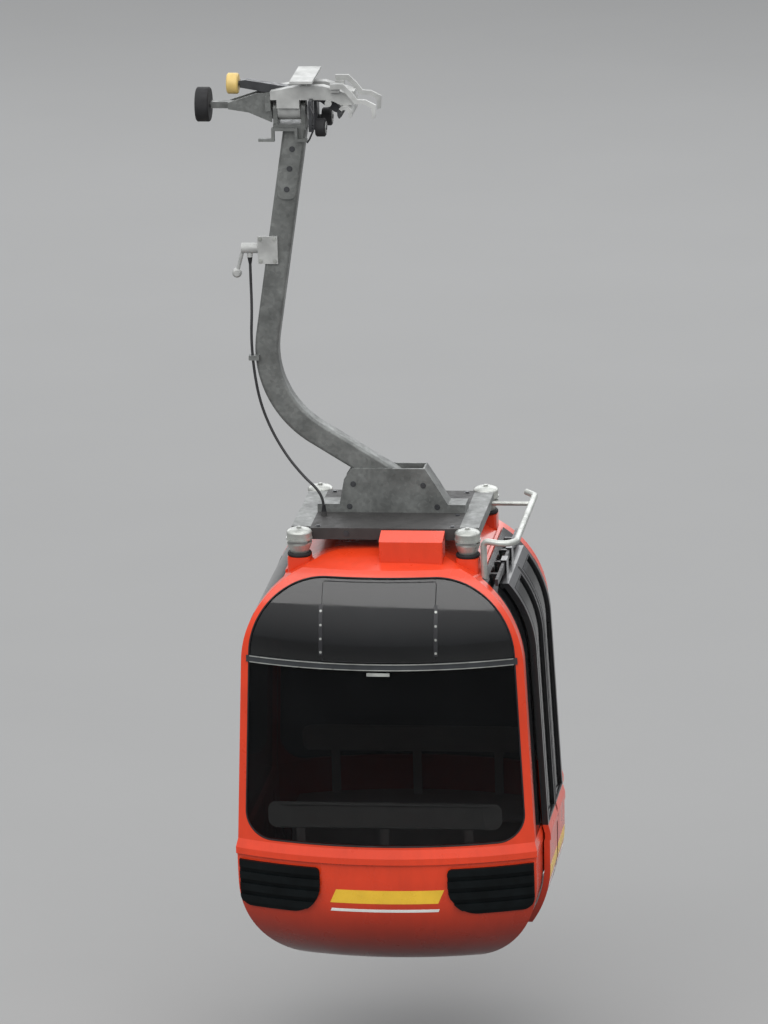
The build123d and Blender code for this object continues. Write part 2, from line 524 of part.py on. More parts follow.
for end, sign in (("front", -1), ("rear", 1)):
    # A deck plate with a lip turned down at its outer edge
    edges = (sign * DECK_Y, sign * FOOT_HALF_Y)
    deck = box(-inner_x, inner_x, *edges, DECK_Z - DECK_T, DECK_Z)
    deck += box(-inner_x, inner_x, sign * DECK_Y, sign * (DECK_Y - DECK_T), DECK_Z - DECK_LIP, DECK_Z)
    if end == "front":
        stub = Pos(gland_x - CABIN_X, gland_y, (gland_z + DECK_Z - DECK_T) / 2)
        deck += stub * Cylinder(GLAND_R, gland_z - DECK_Z + DECK_T)
    put(f"{end}_cross_beam", only(deck), cabin)
    for side, x in (("left", -DAMPER_X), ("right", DAMPER_X)):
        put(f"{end}_{side}_damper", Pos(x, sign * DAMPER_Y, 0) * damper, cabin)

x0, x1, y0, y1 = ROOF_BOX
lid = [
    (y0, ROOF_BOX_TOP_Z),
    (y1, ROOF_BOX_TOP_Z + ROOF_BOX_RISE),
    (y1, ROOF_BOX_TOP_Z - 200),
    (y0, ROOF_BOX_TOP_Z - 200),
]
case = extrude(Plane.YZ * make_face(Polyline(*lid, close=True)), x1 - x0)
case = fillet(case.edges().group_by(Axis.Z)[-1] + case.edges().filter_by(Axis.Z), ROOF_BOX_R)
put("roof_box", only(Pos(x0, 0, 0) * case - shell), cabin)

# The bow stands on one foot at the front and ends free at the back, with one rung to the frame
bow_line = FilletPolyline(
    (BOW_FOOT_X, -BOW_FOOT_Y, BOW_ROOT_Z),
    (BOW_FOOT_X, -BOW_FOOT_Y, BOW_Z),
    (BOW_X, -BOW_FRONT_Y, BOW_Z),
    (BOW_X, BOW_REAR_Y, BOW_Z),
    (BOW_END_X, BOW_END_Y, BOW_Z),
    radius=[2 * BOW_R, 4 * BOW_R, 2 * BOW_R],
)
bow = sweep(Plane(origin=bow_line @ 0, z_dir=bow_line % 0) * Circle(BOW_R), path=bow_line)
bow += rod((outer_x, BOW_RUNG_Y, BOW_Z), (BOW_X, BOW_RUNG_Y, BOW_Z), BOW_RUNG_R)
put("guide_bow", only(bow - shell - bow_seat), cabin)


# Hanger

top = (HANGER_TOP_X, HANGER_TOP_Z + HANGER_CORNER_R)
knee = (HANGER_KNEE_X, HANGER_KNEE_Z)
foot = (HANGER_FOOT_X, HANGER_FOOT_Z)
line = FilletPolyline((top[0], 0, top[1]), (knee[0], 0, knee[1]), (foot[0], 0, foot[1]), radius=HANGER_BEND_R)
start = Plane(origin=line @ 0, x_dir=(0, 1, 0), z_dir=line % 0)
outer_face = RectangleRounded(HANGER_D, HANGER_W, HANGER_CORNER_R)
inner_face = Rectangle(HANGER_D - 2 * HANGER_WALL, HANGER_W - 2 * HANGER_WALL)
hanger = sweep(start * outer_face, path=line) - sweep(start * inner_face, path=line)
hanger -= box(-FAR, FAR, -FAR, FAR, HANGER_TOP_Z, 0)


def cable_radii(route):
    """For each corner of a route, the largest arc that its two runs leave room for."""
    radii = []
    for a, b, c in zip(route, route[1:], route[2:]):
        before, after = Vector(*b) - Vector(*a), Vector(*c) - Vector(*b)
        half_turn = radians(before.get_angle(after)) / 2
        radii.append(0.45 * min(before.length, after.length) / tan(half_turn))
    return radii


radii = cable_radii(CABLE_ROUTE)
print("cable radii:", [round(r) for r in radii])
cable_line = FilletPolyline(*CABLE_ROUTE, radius=radii)
cable = sweep(Plane(origin=cable_line @ 0, z_dir=cable_line % 0) * Circle(CABLE_R), path=cable_line)
print("cable length:", round(cable_line.length), "volume over section times length:",
      round(cable.volume / (cable_line.length * Circle(CABLE_R).area), 4))
put("door_cable", cable)
hanger += box(*CLIP_X, *CLIP_Y, *CLIP_Z) - sweep(start * outer_face, path=line)
put("hanger_tube", only(hanger - cable))

housing_x = sum(LEVER_PLATE_X) / 2
lever_set = box(*LEVER_PLATE_X, -HANGER_D / 2 - GUSSET_T, -HANGER_D / 2, *LEVER_PLATE_Z)
lever_set += rod((LEVER_HOUSING_X0, LEVER_HOUSING_Y, LEVER_SHAFT_Z), (housing_x, LEVER_HOUSING_Y, LEVER_SHAFT_Z),
                 LEVER_HOUSING_R)
shaft_x = LEVER_HOUSING_X0 + LEVER_ARM_R
lever_set += rod((shaft_x, LEVER_HOUSING_Y, LEVER_SHAFT_Z), (LEVER_END[0], LEVER_HOUSING_Y, LEVER_END[1]),
                 LEVER_ARM_R)
knob = Pos(LEVER_END[0], LEVER_HOUSING_Y, LEVER_END[1]) * Rot(90, 0, 0) * Cylinder(LEVER_KNOB_R, LEVER_KNOB_W)
lever_set += chamfer(knob.edges().filter_by(GeomType.CIRCLE), LEVER_ARM_R)
lever_set += Pos(*CABLE_ROUTE[0]) * Pos(0, 0, GLAND_LENGTH / 2) * Cylinder(GLAND_R, GLAND_LENGTH)
put("door_lever", only(lever_set - sweep(start * outer_face, path=line)))

lug_x = HUB_LENGTH / 2 + LUG_GAP
tongue_y = HANGER_D / 2 + TONGUE_T
head_z = AXLE_Z - BODY_HALF_Y + TONGUE_T
head = box(AXLE_X - lug_x - LUG_THICK, AXLE_X + lug_x + LUG_THICK, -tongue_y, tongue_y, HANGER_TOP_Z, head_z)
for sign in (-1, 1):
    x0 = AXLE_X + sign * (lug_x + LUG_THICK / 2)
    head += Pos(x0, 0, AXLE_Z) * Rot(0, 90, 0) * Cylinder(LUG_DROP, LUG_THICK)
    head += box(x0 - LUG_THICK / 2, x0 + LUG_THICK / 2, -LUG_DROP, LUG_DROP, HANGER_TOP_Z, 0)
# Two long tongues hold the tube between them and follow its lean
lean = (HANGER_TOP_X - HANGER_KNEE_X) / (HANGER_TOP_Z - HANGER_KNEE_Z)
low_x = HANGER_TOP_X - lean * (HANGER_TOP_Z - TONGUE_LOW_Z)
tongue = make_face(Polyline(
    (HANGER_TOP_X - TONGUE_HALF_W, HANGER_TOP_Z), (HANGER_TOP_X + TONGUE_HALF_W, HANGER_TOP_Z),
    (low_x + TONGUE_HALF_W, TONGUE_LOW_Z), (low_x - TONGUE_HALF_W, TONGUE_LOW_Z), close=True,
))
tongue = fillet(tongue.vertices().group_by(Axis.Y)[0], TONGUE_R)
tongue = Pos(0, -tongue_y, 0) * extrude(Plane.XZ * tongue, -TONGUE_T)
head += tongue + mirror(tongue, about=back)
# A bent bar in front of the tube's top stops the swing
stop_line = [
    (-436, STOP_LOW_Z), (-436, STOP_LOW_Z + STOP_T), (-370, STOP_LOW_Z + STOP_T), (-370, STOP_TOP_Z),
    (-240, STOP_TOP_Z), (-240, STOP_LOW_Z + STOP_T), (-194, STOP_LOW_Z + STOP_T), (-194, STOP_LOW_Z),
    (-240 - STOP_T, STOP_LOW_Z), (-240 - STOP_T, STOP_TOP_Z - STOP_T), (-370 + STOP_T, STOP_TOP_Z - STOP_T),
    (-370 + STOP_T, STOP_LOW_Z),
]
head += plate_xz(stop_line, STOP_Y0, STOP_Y1)
head += box(-370 + STOP_T, -240 - STOP_T, STOP_Y1 - 1, -tongue_y + 1, STOP_TOP_Z - STOP_T, STOP_TOP_Z)
head -= Pos(AXLE_X, 0, AXLE_Z) * Rot(0, 90, 0) * Cylinder(AXLE_R + 0.05, 400)
put("hanger_head", only(head))

# The foot: two plates that clasp the tube, closed by a strap, on a beam across the frame
foot_x0, foot_x1 = CABIN_X - inner_x, CABIN_X + inner_x
plate_z = FOOT_BEAM_Z - FOOT_SINK
strap_x, strap_z = FOOT_SLOPE[-1]
foot_shape = [(FOOT_RISE[0][0], plate_z), *FOOT_RISE, *FOOT_SLOPE, (strap_x, plate_z)]
plate = plate_xz(foot_shape, -HANGER_D / 2 - GUSSET_T, -HANGER_D / 2)
hanger_foot = plate + mirror(plate, about=back)
strap_y = HANGER_D / 2 + GUSSET_T / 2
strap_inside = [(x - STRAP_T, z - STRAP_DROP) for x, z in reversed(FOOT_SLOPE[:-1])]
strap = [*FOOT_SLOPE, (strap_x, plate_z), (strap_x - STRAP_T, plate_z), (strap_x - STRAP_T, strap_z), *strap_inside]
hanger_foot += plate_xz(strap, -strap_y, strap_y)
hanger_foot += box(foot_x0, foot_x1, -FOOT_HALF_Y, FOOT_HALF_Y, SEAT_Z, FOOT_BEAM_Z)
put("hanger_foot", only(hanger_foot))


# Grip

axle = Pos(AXLE_X, 0, AXLE_Z) * Rot(0, 90, 0) * Cylinder(AXLE_R, HUB_LENGTH + 2 * (LUG_GAP + LUG_THICK) + 8)
put("pivot_axle", axle)
hub = Pos(AXLE_X, 0, AXLE_Z) * Rot(0, 90, 0) * Cylinder(HUB_R, HUB_LENGTH)
hub += box(AXLE_X - HUB_LENGTH / 2, AXLE_X + HUB_LENGTH / 2, -BODY_HALF_Y, BODY_HALF_Y, 20, BRIDGE_Z1)
bridge = [(BODY_X0, BRIDGE_Z0), (BODY_X0, BRIDGE_Z1), (-230, 132), (-110, 132), (22, 92), (46, 40), (20, 36), (-20, 36),
    (-60, 56), (-110, BRIDGE_Z0)]
cheeks = plate_xz(bridge, 30, BODY_HALF_Y)
cheeks += mirror(cheeks, about=back)
body = hub + cheeks + box(-10, 40, -31, 31, 50, 96)
# A curved guard at each end of the jaws leads the rope in
guard_shape = [
    (-70, 122), (-70, 150), (-4, 150), (36, 110), (64, 72), (106, 70), (156, 44), (152, -18), (134, -26),
    (132, 30), (102, 48), (50, 50), (14, 96), (-14, 124),
]
guard = plate_xz(guard_shape, -GUIDE_Y - GUIDE_T, -GUIDE_Y)
guard += box(-70, -24, -GUIDE_Y - 1, -BODY_HALF_Y + 1, 104, 124)
body += guard + mirror(guard, about=back)
body -= box(-FAR, -14, -28, 28, 20, 200)
body -= Pos(AXLE_X, 0, AXLE_Z) * Rot(0, 90, 0) * Cylinder(AXLE_R, 400)
body -= Pos(JAW_PIN_X, 0, JAW_PIN_Z) * Rot(90, 0, 0) * Cylinder(JAW_PIN_R, 400)
body -= Rot(90, 0, 0) * Cylinder(ROPE_R + JAW_WALL, 400)
body += Pos(JAW_PIN_X, 0, JAW_PIN_Z) * Rot(90, 0, 0) * Cylinder(JAW_PIN_R, 2 * BODY_HALF_Y + 16)
put("grip_body", only(body))


def sector(a0, a1, r0, r1, length):
    """Part of a ring round the rope, between two angles in the XZ plane."""
    ring = Circle(r1) - Circle(r0)
    n = max(2, int((a1 - a0) / 30) + 1)
    fan = [(0, 0)] + [
        (4 * r1 * cos(radians(a0 + (a1 - a0) * i / n)), 4 * r1 * sin(radians(a0 + (a1 - a0) * i / n)))
        for i in range(n + 1)
    ]
    face = ring & make_face(Polyline(*fan, close=True))
    return extrude(Plane.XZ * face, length / 2, both=True)


jaw = sector(-35, 140, ROPE_R, ROPE_R + JAW_WALL, JAW_LENGTH)
put("fixed_jaw", only(jaw))
pin_gap = JAW_PIN_R + 0.05
moving = sector(152, 222, ROPE_R, ROPE_R + JAW_WALL, JAW_LENGTH)
lever = [(-530, 112), (-530, 146), (-500, 150), (-96, 84), (-58, 56), (-44, 24), (-34, 4), (-36, -16), (-60, -10),
    (-96, 14), (-130, 40)]
lever = plate_xz(lever, -LEVER_HALF_T, LEVER_HALF_T)
moving = moving + lever + Pos(JAW_PIN_X, 0, JAW_PIN_Z) * Rot(90, 0, 0) * Cylinder(JAW_HUB_R, 48)
moving -= Pos(JAW_PIN_X, 0, JAW_PIN_Z) * Rot(90, 0, 0) * Cylinder(pin_gap, 400)
moving -= Rot(90, 0, 0) * Cylinder(ROPE_R, 400)
moving = only(moving)
arm_zone = box(-FAR, LEVER_JOINT_X, -FAR, FAR, -FAR, FAR)
put("jaw_lever", only(moving - arm_zone))
roller_arm = (moving & arm_zone) + Pos(ROLLER_X + 20, 0, ROLLER_Z) * Rot(0, 90, 0) * Cylinder(WHEEL_PIN_R, 100)
put("roller_arm", only(roller_arm))

# The outrigger: a bar with a broad web on each side, widening towards the body
arm_x0 = OUTER_WHEEL_X + OUTER_WHEEL_W / 2 + ARM_GAP
arm_foot = HUB_R / 2
arm = box(arm_x0, BODY_X0, -ARM_HALF_Y, ARM_HALF_Y, ARM_Z0, ARM_Z1)
arm += box(BODY_X0 - arm_foot, BODY_X0, -BODY_HALF_Y, BODY_HALF_Y, ARM_Z0, BRIDGE_Z1 - arm_foot)
arm += box(WEB_TIP_X, BODY_X0, -WEB_IN_Y - 1, WEB_IN_Y + 1, ARM_Z0, ARM_Z1)
web = plate_xz([
    (WEB_TIP_X, ARM_Z1), (WEB_KNEE_X, 84), (BODY_X0, 90), (BODY_X0, -60), (WEB_KNEE_X - 38, -10),
    (WEB_TIP_X, ARM_Z0),
], WEB_IN_Y, WEB_IN_Y + WEB_T)
arm += web + mirror(web, about=back)
pin_length = OUTER_WHEEL_W + 4 * ARM_GAP
arm += Pos(OUTER_WHEEL_X + ARM_GAP, 0, OUTER_WHEEL_Z) * Rot(0, 90, 0) * Cylinder(WHEEL_PIN_R, pin_length)
put("outrigger_arm", only(arm))


def wheel(x, y, z, radius, width):
    """A roller on an axle along X, with a running fit on its pin."""
    tread = Pos(x, y, z) * Rot(0, 90, 0) * Cylinder(radius, width)
    tread = chamfer(tread.edges().filter_by(GeomType.CIRCLE), WHEEL_EDGE)
    return tread - Pos(x, y, z) * Rot(0, 90, 0) * Cylinder(WHEEL_PIN_R + 0.05, 2 * width)


put("outer_wheel", wheel(OUTER_WHEEL_X, 0, OUTER_WHEEL_Z, OUTER_WHEEL_R, OUTER_WHEEL_W))
put("coupling_roller", wheel(ROLLER_X, 0, ROLLER_Z, ROLLER_R, ROLLER_W))
for end, sign in (("front", -1), ("rear", 1)):
    y = sign * INNER_WHEEL_Y
    put(f"{end}_inner_wheel", wheel(INNER_WHEEL_X, y, INNER_WHEEL_Z, INNER_WHEEL_R, INNER_WHEEL_W))
    bracket = box(-176, -160, sign * (BODY_HALF_Y - 20), sign * (BODY_HALF_Y + 64), -84, 70)
    bracket += Pos(INNER_WHEEL_X - 12, y, INNER_WHEEL_Z) * Rot(0, 90, 0) * Cylinder(WHEEL_PIN_R, 84)
    put(f"{end}_wheel_bracket", only(bracket - body))

plate_w, plate_l, plate_t = FRICTION_PLATE
plate_z = FRICTION_PLATE_Z
shoe = Pos(FRICTION_PLATE_X, 0, plate_z - plate_t / 2) * Box(plate_w, plate_l, plate_t)
for y in (-54, 54):
    shoe += Pos(FRICTION_PLATE_X, y, 0) * box(-14, 14, -14, 14, 110, plate_z - plate_t)
put("friction_plate", only(shoe - body))


for name, shape in parts.items():
    shape.label = name
    export_step(shape, f"parts/{name}.step")
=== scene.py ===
# %% [markdown]
# # A cable car cabin, dressed for its portrait
# The cabin, its hanger and its rope grip come as plain solids at their real size. This lesson
# gives them paint, zinc, rubber and glass, adds the small pieces that solids leave out, and sets
# a camera and soft lights. Lengths are metres, X points across the line, Y along the rope, Z up.

# %% Load the frame
import json
import math

import bmesh
import bpy
from mathutils import Matrix, Vector
from mathutils.bvhtree import BVHTree


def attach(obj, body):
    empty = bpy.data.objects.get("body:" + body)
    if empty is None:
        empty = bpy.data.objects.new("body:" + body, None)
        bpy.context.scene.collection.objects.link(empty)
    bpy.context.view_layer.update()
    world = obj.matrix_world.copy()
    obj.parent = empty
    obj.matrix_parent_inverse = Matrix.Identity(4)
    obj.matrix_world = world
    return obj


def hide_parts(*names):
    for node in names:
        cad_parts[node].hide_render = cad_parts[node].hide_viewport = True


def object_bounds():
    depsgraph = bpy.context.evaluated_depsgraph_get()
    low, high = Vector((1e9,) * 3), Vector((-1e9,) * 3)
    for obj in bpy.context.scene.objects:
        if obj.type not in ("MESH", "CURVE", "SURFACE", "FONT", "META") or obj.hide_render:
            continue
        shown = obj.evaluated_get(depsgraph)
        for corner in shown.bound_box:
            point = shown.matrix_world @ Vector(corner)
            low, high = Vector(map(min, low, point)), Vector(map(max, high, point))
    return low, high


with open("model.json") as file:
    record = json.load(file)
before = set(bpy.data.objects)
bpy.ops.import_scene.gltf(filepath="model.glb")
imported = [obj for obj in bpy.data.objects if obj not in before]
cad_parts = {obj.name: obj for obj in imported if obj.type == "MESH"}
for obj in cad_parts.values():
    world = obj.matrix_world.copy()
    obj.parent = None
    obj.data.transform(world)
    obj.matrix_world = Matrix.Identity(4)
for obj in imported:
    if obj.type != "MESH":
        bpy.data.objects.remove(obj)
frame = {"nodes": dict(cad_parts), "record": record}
nodes = frame["nodes"]
cad_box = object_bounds()
print("pieces in the frame:", len(nodes))

# %% [markdown]
# ## Camera
# The photograph looks down at the cabin from far off, so a long lens is right: it keeps the
# cabin's sides almost parallel. The camera stands where the photograph's camera stood and turns
# until the cabin is in the middle. A small roll repeats how the cabin leans in the picture.

# %% Camera
CAMERA_PLACE = Vector((5.463, -38.928, 9.244))
LENS_MM = 288.0
SENSOR_MM = 36.0
ROLL_DEG = -1.65
AIM_SHIFT = Vector((0.02, 0.0, -0.02))


def add_camera():
    """The camera at the photograph's viewing angle, aimed at the middle of the object."""
    low, high = Vector(cad_box[0]), Vector(cad_box[1])
    aim = (low + high) / 2 + AIM_SHIFT
    data = bpy.data.cameras.new("portrait_camera")
    data.sensor_fit = "VERTICAL"
    data.sensor_height = SENSOR_MM
    data.lens = LENS_MM
    data.clip_end = 400.0
    camera = bpy.data.objects.new("portrait_camera", data)
    bpy.context.scene.collection.objects.link(camera)
    look = (aim - CAMERA_PLACE).to_track_quat("-Z", "Y").to_matrix().to_4x4()
    roll = Matrix.Rotation(math.radians(ROLL_DEG), 4, "Z")
    camera.matrix_world = Matrix.Translation(CAMERA_PLACE) @ look @ roll
    bpy.context.scene.camera = camera
    return aim


aim_point = add_camera()
print("camera aims at", [round(c, 3) for c in aim_point])

# %% [markdown]
# ## Recipes for finishes
# Every finish here is a Principled shader fed by a few noises on Object coordinates, so that the
# pattern stays on the metal when a part moves. A small class keeps the node work short: each
# method adds one node and gives back its output.

# %% A class that builds one finish
class Finish:
    """One material under construction, with short calls that add nodes."""

    def __init__(self, name, roughness=0.5, metallic=0.0, **plain):
        self.material = bpy.data.materials.new(name)
        self.material.use_nodes = True
        self.tree = self.material.node_tree
        self.shader = self.tree.nodes["Principled BSDF"]
        self.shader.inputs["Roughness"].default_value = roughness
        self.shader.inputs["Metallic"].default_value = metallic
        for socket, value in plain.items():
            self.shader.inputs[socket.replace("_", " ")].default_value = value
        self.place = self.tree.nodes.new("ShaderNodeTexCoord").outputs["Object"]

    def link(self, output, target):
        self.tree.links.new(output, target)

    def stretched(self, scale):
        """Object coordinates stretched by three factors."""
        node = self.tree.nodes.new("ShaderNodeMapping")
        node.inputs["Scale"].default_value = scale
        self.link(self.place, node.inputs["Vector"])
        return node.outputs["Vector"]

    def noise(self, scale, detail=3.0, stretch=None):
        """Soft cloudy noise."""
        node = self.tree.nodes.new("ShaderNodeTexNoise")
        node.inputs["Scale"].default_value = scale
        node.inputs["Detail"].default_value = detail
        self.link(self.stretched(stretch) if stretch else self.place, node.inputs["Vector"])
        return node.outputs["Fac"]

    def crystals(self, scale):
        """Flat patches of random grey, as on zinc."""
        node = self.tree.nodes.new("ShaderNodeTexVoronoi")
        node.inputs["Scale"].default_value = scale
        self.link(self.place, node.inputs["Vector"])
        return node.outputs["Color"]

    def ramp(self, factor, *stops):
        """A colour ramp. Each stop is a position and a colour."""
        node = self.tree.nodes.new("ShaderNodeValToRGB")
        elements = node.color_ramp.elements
        while len(elements) < len(stops):
            elements.new(0.5)
        for element, (position, color) in zip(elements, stops):
            element.position = position
            element.color = (*color, 1.0)
        self.link(factor, node.inputs["Fac"])
        return node.outputs["Color"]

    def band(self, z_low, z_high):
        """0 below one height and 1 above another."""
        axes = self.tree.nodes.new("ShaderNodeSeparateXYZ")
        node = self.tree.nodes.new("ShaderNodeMapRange")
        node.inputs["From Min"].default_value = z_low
        node.inputs["From Max"].default_value = z_high
        self.link(self.place, axes.inputs["Vector"])
        self.link(axes.outputs["Z"], node.inputs["Value"])
        return node.outputs["Result"]

    def mix(self, factor, first, second, kind="MIX"):
        """Two colours mixed; each may be a colour or another node's output."""
        node = self.tree.nodes.new("ShaderNodeMix")
        node.data_type = "RGBA"
        node.blend_type = kind
        for socket, value in (("Factor_Float", factor), ("A_Color", first), ("B_Color", second)):
            target = next(s for s in node.inputs if s.identifier == socket)
            if isinstance(value, bpy.types.NodeSocket):
                self.link(value, target)
            elif isinstance(value, tuple):
                target.default_value = (*value, 1.0)
            else:
                target.default_value = value
        return next(s for s in node.outputs if s.identifier == "Result_Color")

    def color(self, output):
        self.link(output, self.shader.inputs["Base Color"])

    def rough(self, factor, low, high):
        """Roughness that wanders between two values."""
        wander = self.ramp(factor, (0.3, (low,) * 3), (0.7, (high,) * 3))
        self.link(wander, self.shader.inputs["Roughness"])

    def bump(self, factor, depth, strength=1.0):
        """Surface relief, depth in metres."""
        node = self.tree.nodes.new("ShaderNodeBump")
        node.inputs["Distance"].default_value = depth
        node.inputs["Strength"].default_value = strength
        self.link(factor, node.inputs["Height"])
        self.link(node.outputs["Normal"], self.shader.inputs["Normal"])


def times(color, factor):
    """A colour made darker or lighter."""
    return tuple(c * factor for c in color)


finishes = {}
print("finish recipes ready")

# %% [markdown]
# ## Red enamel
# The cabin's panels are pressed metal under thick glossy enamel. Real enamel is never one flat
# red: it has a fine orange peel and a slow drift in tone. Low down, where the panels curve in,
# the red is darkened with painted shade. A clear coat over a deep red gives the pale glare that
# the roof and the belt show, which a plain lighter red can't.

# %% Red enamel and the doors' two colours
BELT_Z = -3.586
RED, BLACK, WHITE = (0.640, 0.044, 0.011), (0.010, 0.010, 0.011), (1.0, 1.0, 1.0)
# The second colour here, with the two heights below it, is painted shade on the red low down, where the
# panels curve in.
SPECK, PAINTED_LOW_SHADE = (0.86, 0.86, 0.86), (0.13, 0.06, 0.04)
PAINTED_SHADE_LOW_Z, PAINTED_SHADE_HIGH_Z = -4.20, -3.74
COLOR_EDGE = 0.001


def enamel(name, above=None):
    """Red enamel, with another colour above the belt when one is given."""
    f = Finish(name, 0.38, Coat_Weight=0.45, Coat_Roughness=0.10, Specular_IOR_Level=0.25)
    drift = f.ramp(f.noise(2.2, 4.0), (0.30, times(RED, 0.88)), (0.70, times(RED, 1.06)))
    streaks = f.noise(26.0, 5.0, stretch=(1.0, 1.0, 0.25))
    specks = f.ramp(streaks, (0.30, SPECK), (0.60, WHITE))
    # Painted shade: the red darkens towards the bottom, where the panels curve in.
    low = f.ramp(f.band(PAINTED_SHADE_LOW_Z, PAINTED_SHADE_HIGH_Z), (0.0, PAINTED_LOW_SHADE), (1.0, WHITE))
    red = f.mix(0.5, drift, specks, "MULTIPLY")
    red = f.mix(1.0, red, low, "MULTIPLY")
    f.color(f.mix(f.band(BELT_Z, BELT_Z + COLOR_EDGE), red, above) if above else red)
    f.rough(f.noise(7.0, 4.0), 0.24, 0.38)
    f.bump(f.noise(420.0, 1.0), 0.0002, 0.25)
    return f.material


finishes["red_paint"] = enamel("red_enamel")
door_enamel = enamel("door_enamel", BLACK)
print("enamels:", finishes["red_paint"].name, door_enamel.name)

# %% [markdown]
# ## Zinc and bare metal
# The hanger is hot-dip galvanised and has stood outside for years, so its crystals have gone
# dull and grey. The dampers and the bow are cast or drawn aluminium and keep a brighter skin.
# Voronoi cells make the crystals; a stretched noise makes the drawn tubes' fine lines.

# %% Metals
def metal(name, color, roughness, metallic, cell=0.0, lines=None, grain=90.0, depth=0.0004):
    """A bare or painted metal with wear, and crystals or drawn lines when asked."""
    f = Finish(name, roughness, metallic)
    wear = f.noise(9.0, 6.0)
    base = f.ramp(wear, (0.32, times(color, 0.72)), (0.68, times(color, 1.22)))
    if cell:
        patches = f.ramp(f.crystals(cell), (0.0, (0.72,) * 3), (1.0, (1.18,) * 3))
        base = f.mix(0.7, base, patches, "MULTIPLY")
    if lines:
        scratches = f.ramp(f.noise(240.0, 2.0, lines), (0.35, (0.85,) * 3), (0.65, (1.1,) * 3))
        base = f.mix(0.6, base, scratches, "MULTIPLY")
    f.color(base)
    f.rough(f.noise(30.0, 4.0), roughness - 0.10, roughness + 0.12)
    f.bump(f.noise(grain, 4.0), depth, 0.5)
    return f.material


METALS = (
    # slot, name, colour, roughness, metallic, crystal cells, drawn lines, grain, relief
    ("galvanised", "dull_zinc", (0.150, 0.156, 0.150), 0.50, 0.45, 60.0, None, 90.0, 0.0004),
    ("black_paint", "black_stove_paint", (0.012, 0.012, 0.014), 0.38, 0.0, 0.0, None, 300.0, 0.0001),
    ("frame_paint", "deck_paint", (0.030, 0.029, 0.028), 0.66, 0.0, 0.0, None, 160.0, 0.0005),
    ("dark_steel", "oiled_steel", (0.060, 0.062, 0.066), 0.42, 0.55, 0.0, None, 120.0, 0.0003),
    ("cast_light", "pale_casting", (0.360, 0.365, 0.355), 0.55, 0.25, 0.0, None, 140.0, 0.0006),
    ("silver", "drawn_aluminium", (0.400, 0.410, 0.385), 0.36, 0.60, 0.0, (1.0, 0.05, 1.0), 200.0, 0.0001),
    ("bar_grey", "bar_aluminium", (0.026, 0.029, 0.032), 0.45, 0.10, 0.0, (0.04, 1.0, 1.0), 200.0, 0.0001),
)
for slot, *recipe in METALS:
    finishes[slot] = metal(*recipe)
print("metals:", len(METALS))

# %% [markdown]
# ## Rubber and plastic
# Tyres, bumpers and seals are black but never black alone: road film greys them, and moulded
# plastic keeps a fine grain. Noise in colour, roughness and relief gives each its skin.

# %% Rubber and plastic
def moulded(name, color, roughness, grain, depth, gloss=0.5, drift=0.35):
    """A moulded skin with grain and a dusty film; drift is how far its shade wanders."""
    f = Finish(name, roughness, Specular_IOR_Level=gloss)
    film = f.noise(14.0, 6.0)
    f.color(f.ramp(film, (0.34, times(color, 1.0 - drift)), (0.72, times(color, 1.0 + drift))))
    f.rough(f.noise(22.0, 3.0), roughness - 0.08, roughness + 0.10)
    f.bump(f.noise(grain, 2.0), depth, 0.6)
    return f.material


SKINS = (
    # slot, name, colour, roughness, grain, relief, specular level, drift in shade
    ("black_rubber", "weathered_rubber", (0.012, 0.012, 0.013), 0.70, 260.0, 0.0004, 0.30),
    ("black_plastic", "bumper_plastic", (0.003, 0.0045, 0.005), 0.52, 420.0, 0.0003, 0.12),
    ("roller_yellow", "roller_plastic", (0.560, 0.400, 0.130), 0.45, 180.0, 0.0004, 0.50, 0.15),
    ("bench_plastic", "bench_shell", (0.600, 0.590, 0.570), 0.50, 520.0, 0.0002, 0.50, 0.07),
    ("cable", "cable_jacket", (0.018, 0.018, 0.019), 0.50, 600.0, 0.0002),
)
for slot, *recipe in SKINS:
    finishes[slot] = moulded(*recipe)
stripe_yellow = moulded("stripe_yellow", (0.720, 0.440, 0.030), 0.30, 420.0, 0.00005, drift=0.06)
stripe_white = moulded("stripe_white", (0.660, 0.660, 0.640), 0.30, 420.0, 0.00005, drift=0.05)
print("skins:", len(SKINS))

# %% [markdown]
# ## Dark glazing
# The cabin's windows are smoked acrylic, almost black from outside. A clear glass shader would
# show too much, so a pane is a near-black gloss surface with a little transparency. Three kinds
# are enough: the front pane lets the bench behind it show, the arched panes above the bar mirror
# the sky, and the side panes lie between. Dust makes the gloss wander.

# %% Dark glazing
PANE_DARK, PANE_LIGHT = (0.0010, 0.0012, 0.0015), (0.004, 0.0045, 0.005)


def smoked(name, alpha, gloss):
    """Smoked acrylic with a given opacity and strength of reflection."""
    f = Finish(name, 0.05, Alpha=alpha, IOR=1.45, Specular_IOR_Level=gloss)
    f.color(f.ramp(f.noise(3.0, 4.0), (0.30, PANE_DARK), (0.75, PANE_LIGHT)))
    f.rough(f.noise(12.0, 5.0), 0.03, 0.12)
    return f.material


finishes["window"] = smoked("side_acrylic", 0.88, 0.45)
viewing_pane = smoked("viewing_acrylic", 0.60, 0.14)
arched_pane = smoked("arched_acrylic", 0.86, 0.72)
print("panes:", finishes["window"].name, viewing_pane.name, arched_pane.name)

# %% [markdown]
# ## Give every solid its finish
# The record names a material slot for each solid, so one loop dresses them all. A few differ from
# their slot. Door leaves are black round the glass and red below the belt, the hanger's head is
# zinc like its tube, and the doorway's frame has the gloss of the panes beside it.

# %% Finishes on the solids
def dress(piece, material):
    """One material on every slot of a piece."""
    if not piece.data.materials:
        piece.data.materials.append(material)
    for i in range(len(piece.data.materials)):
        piece.data.materials[i] = material


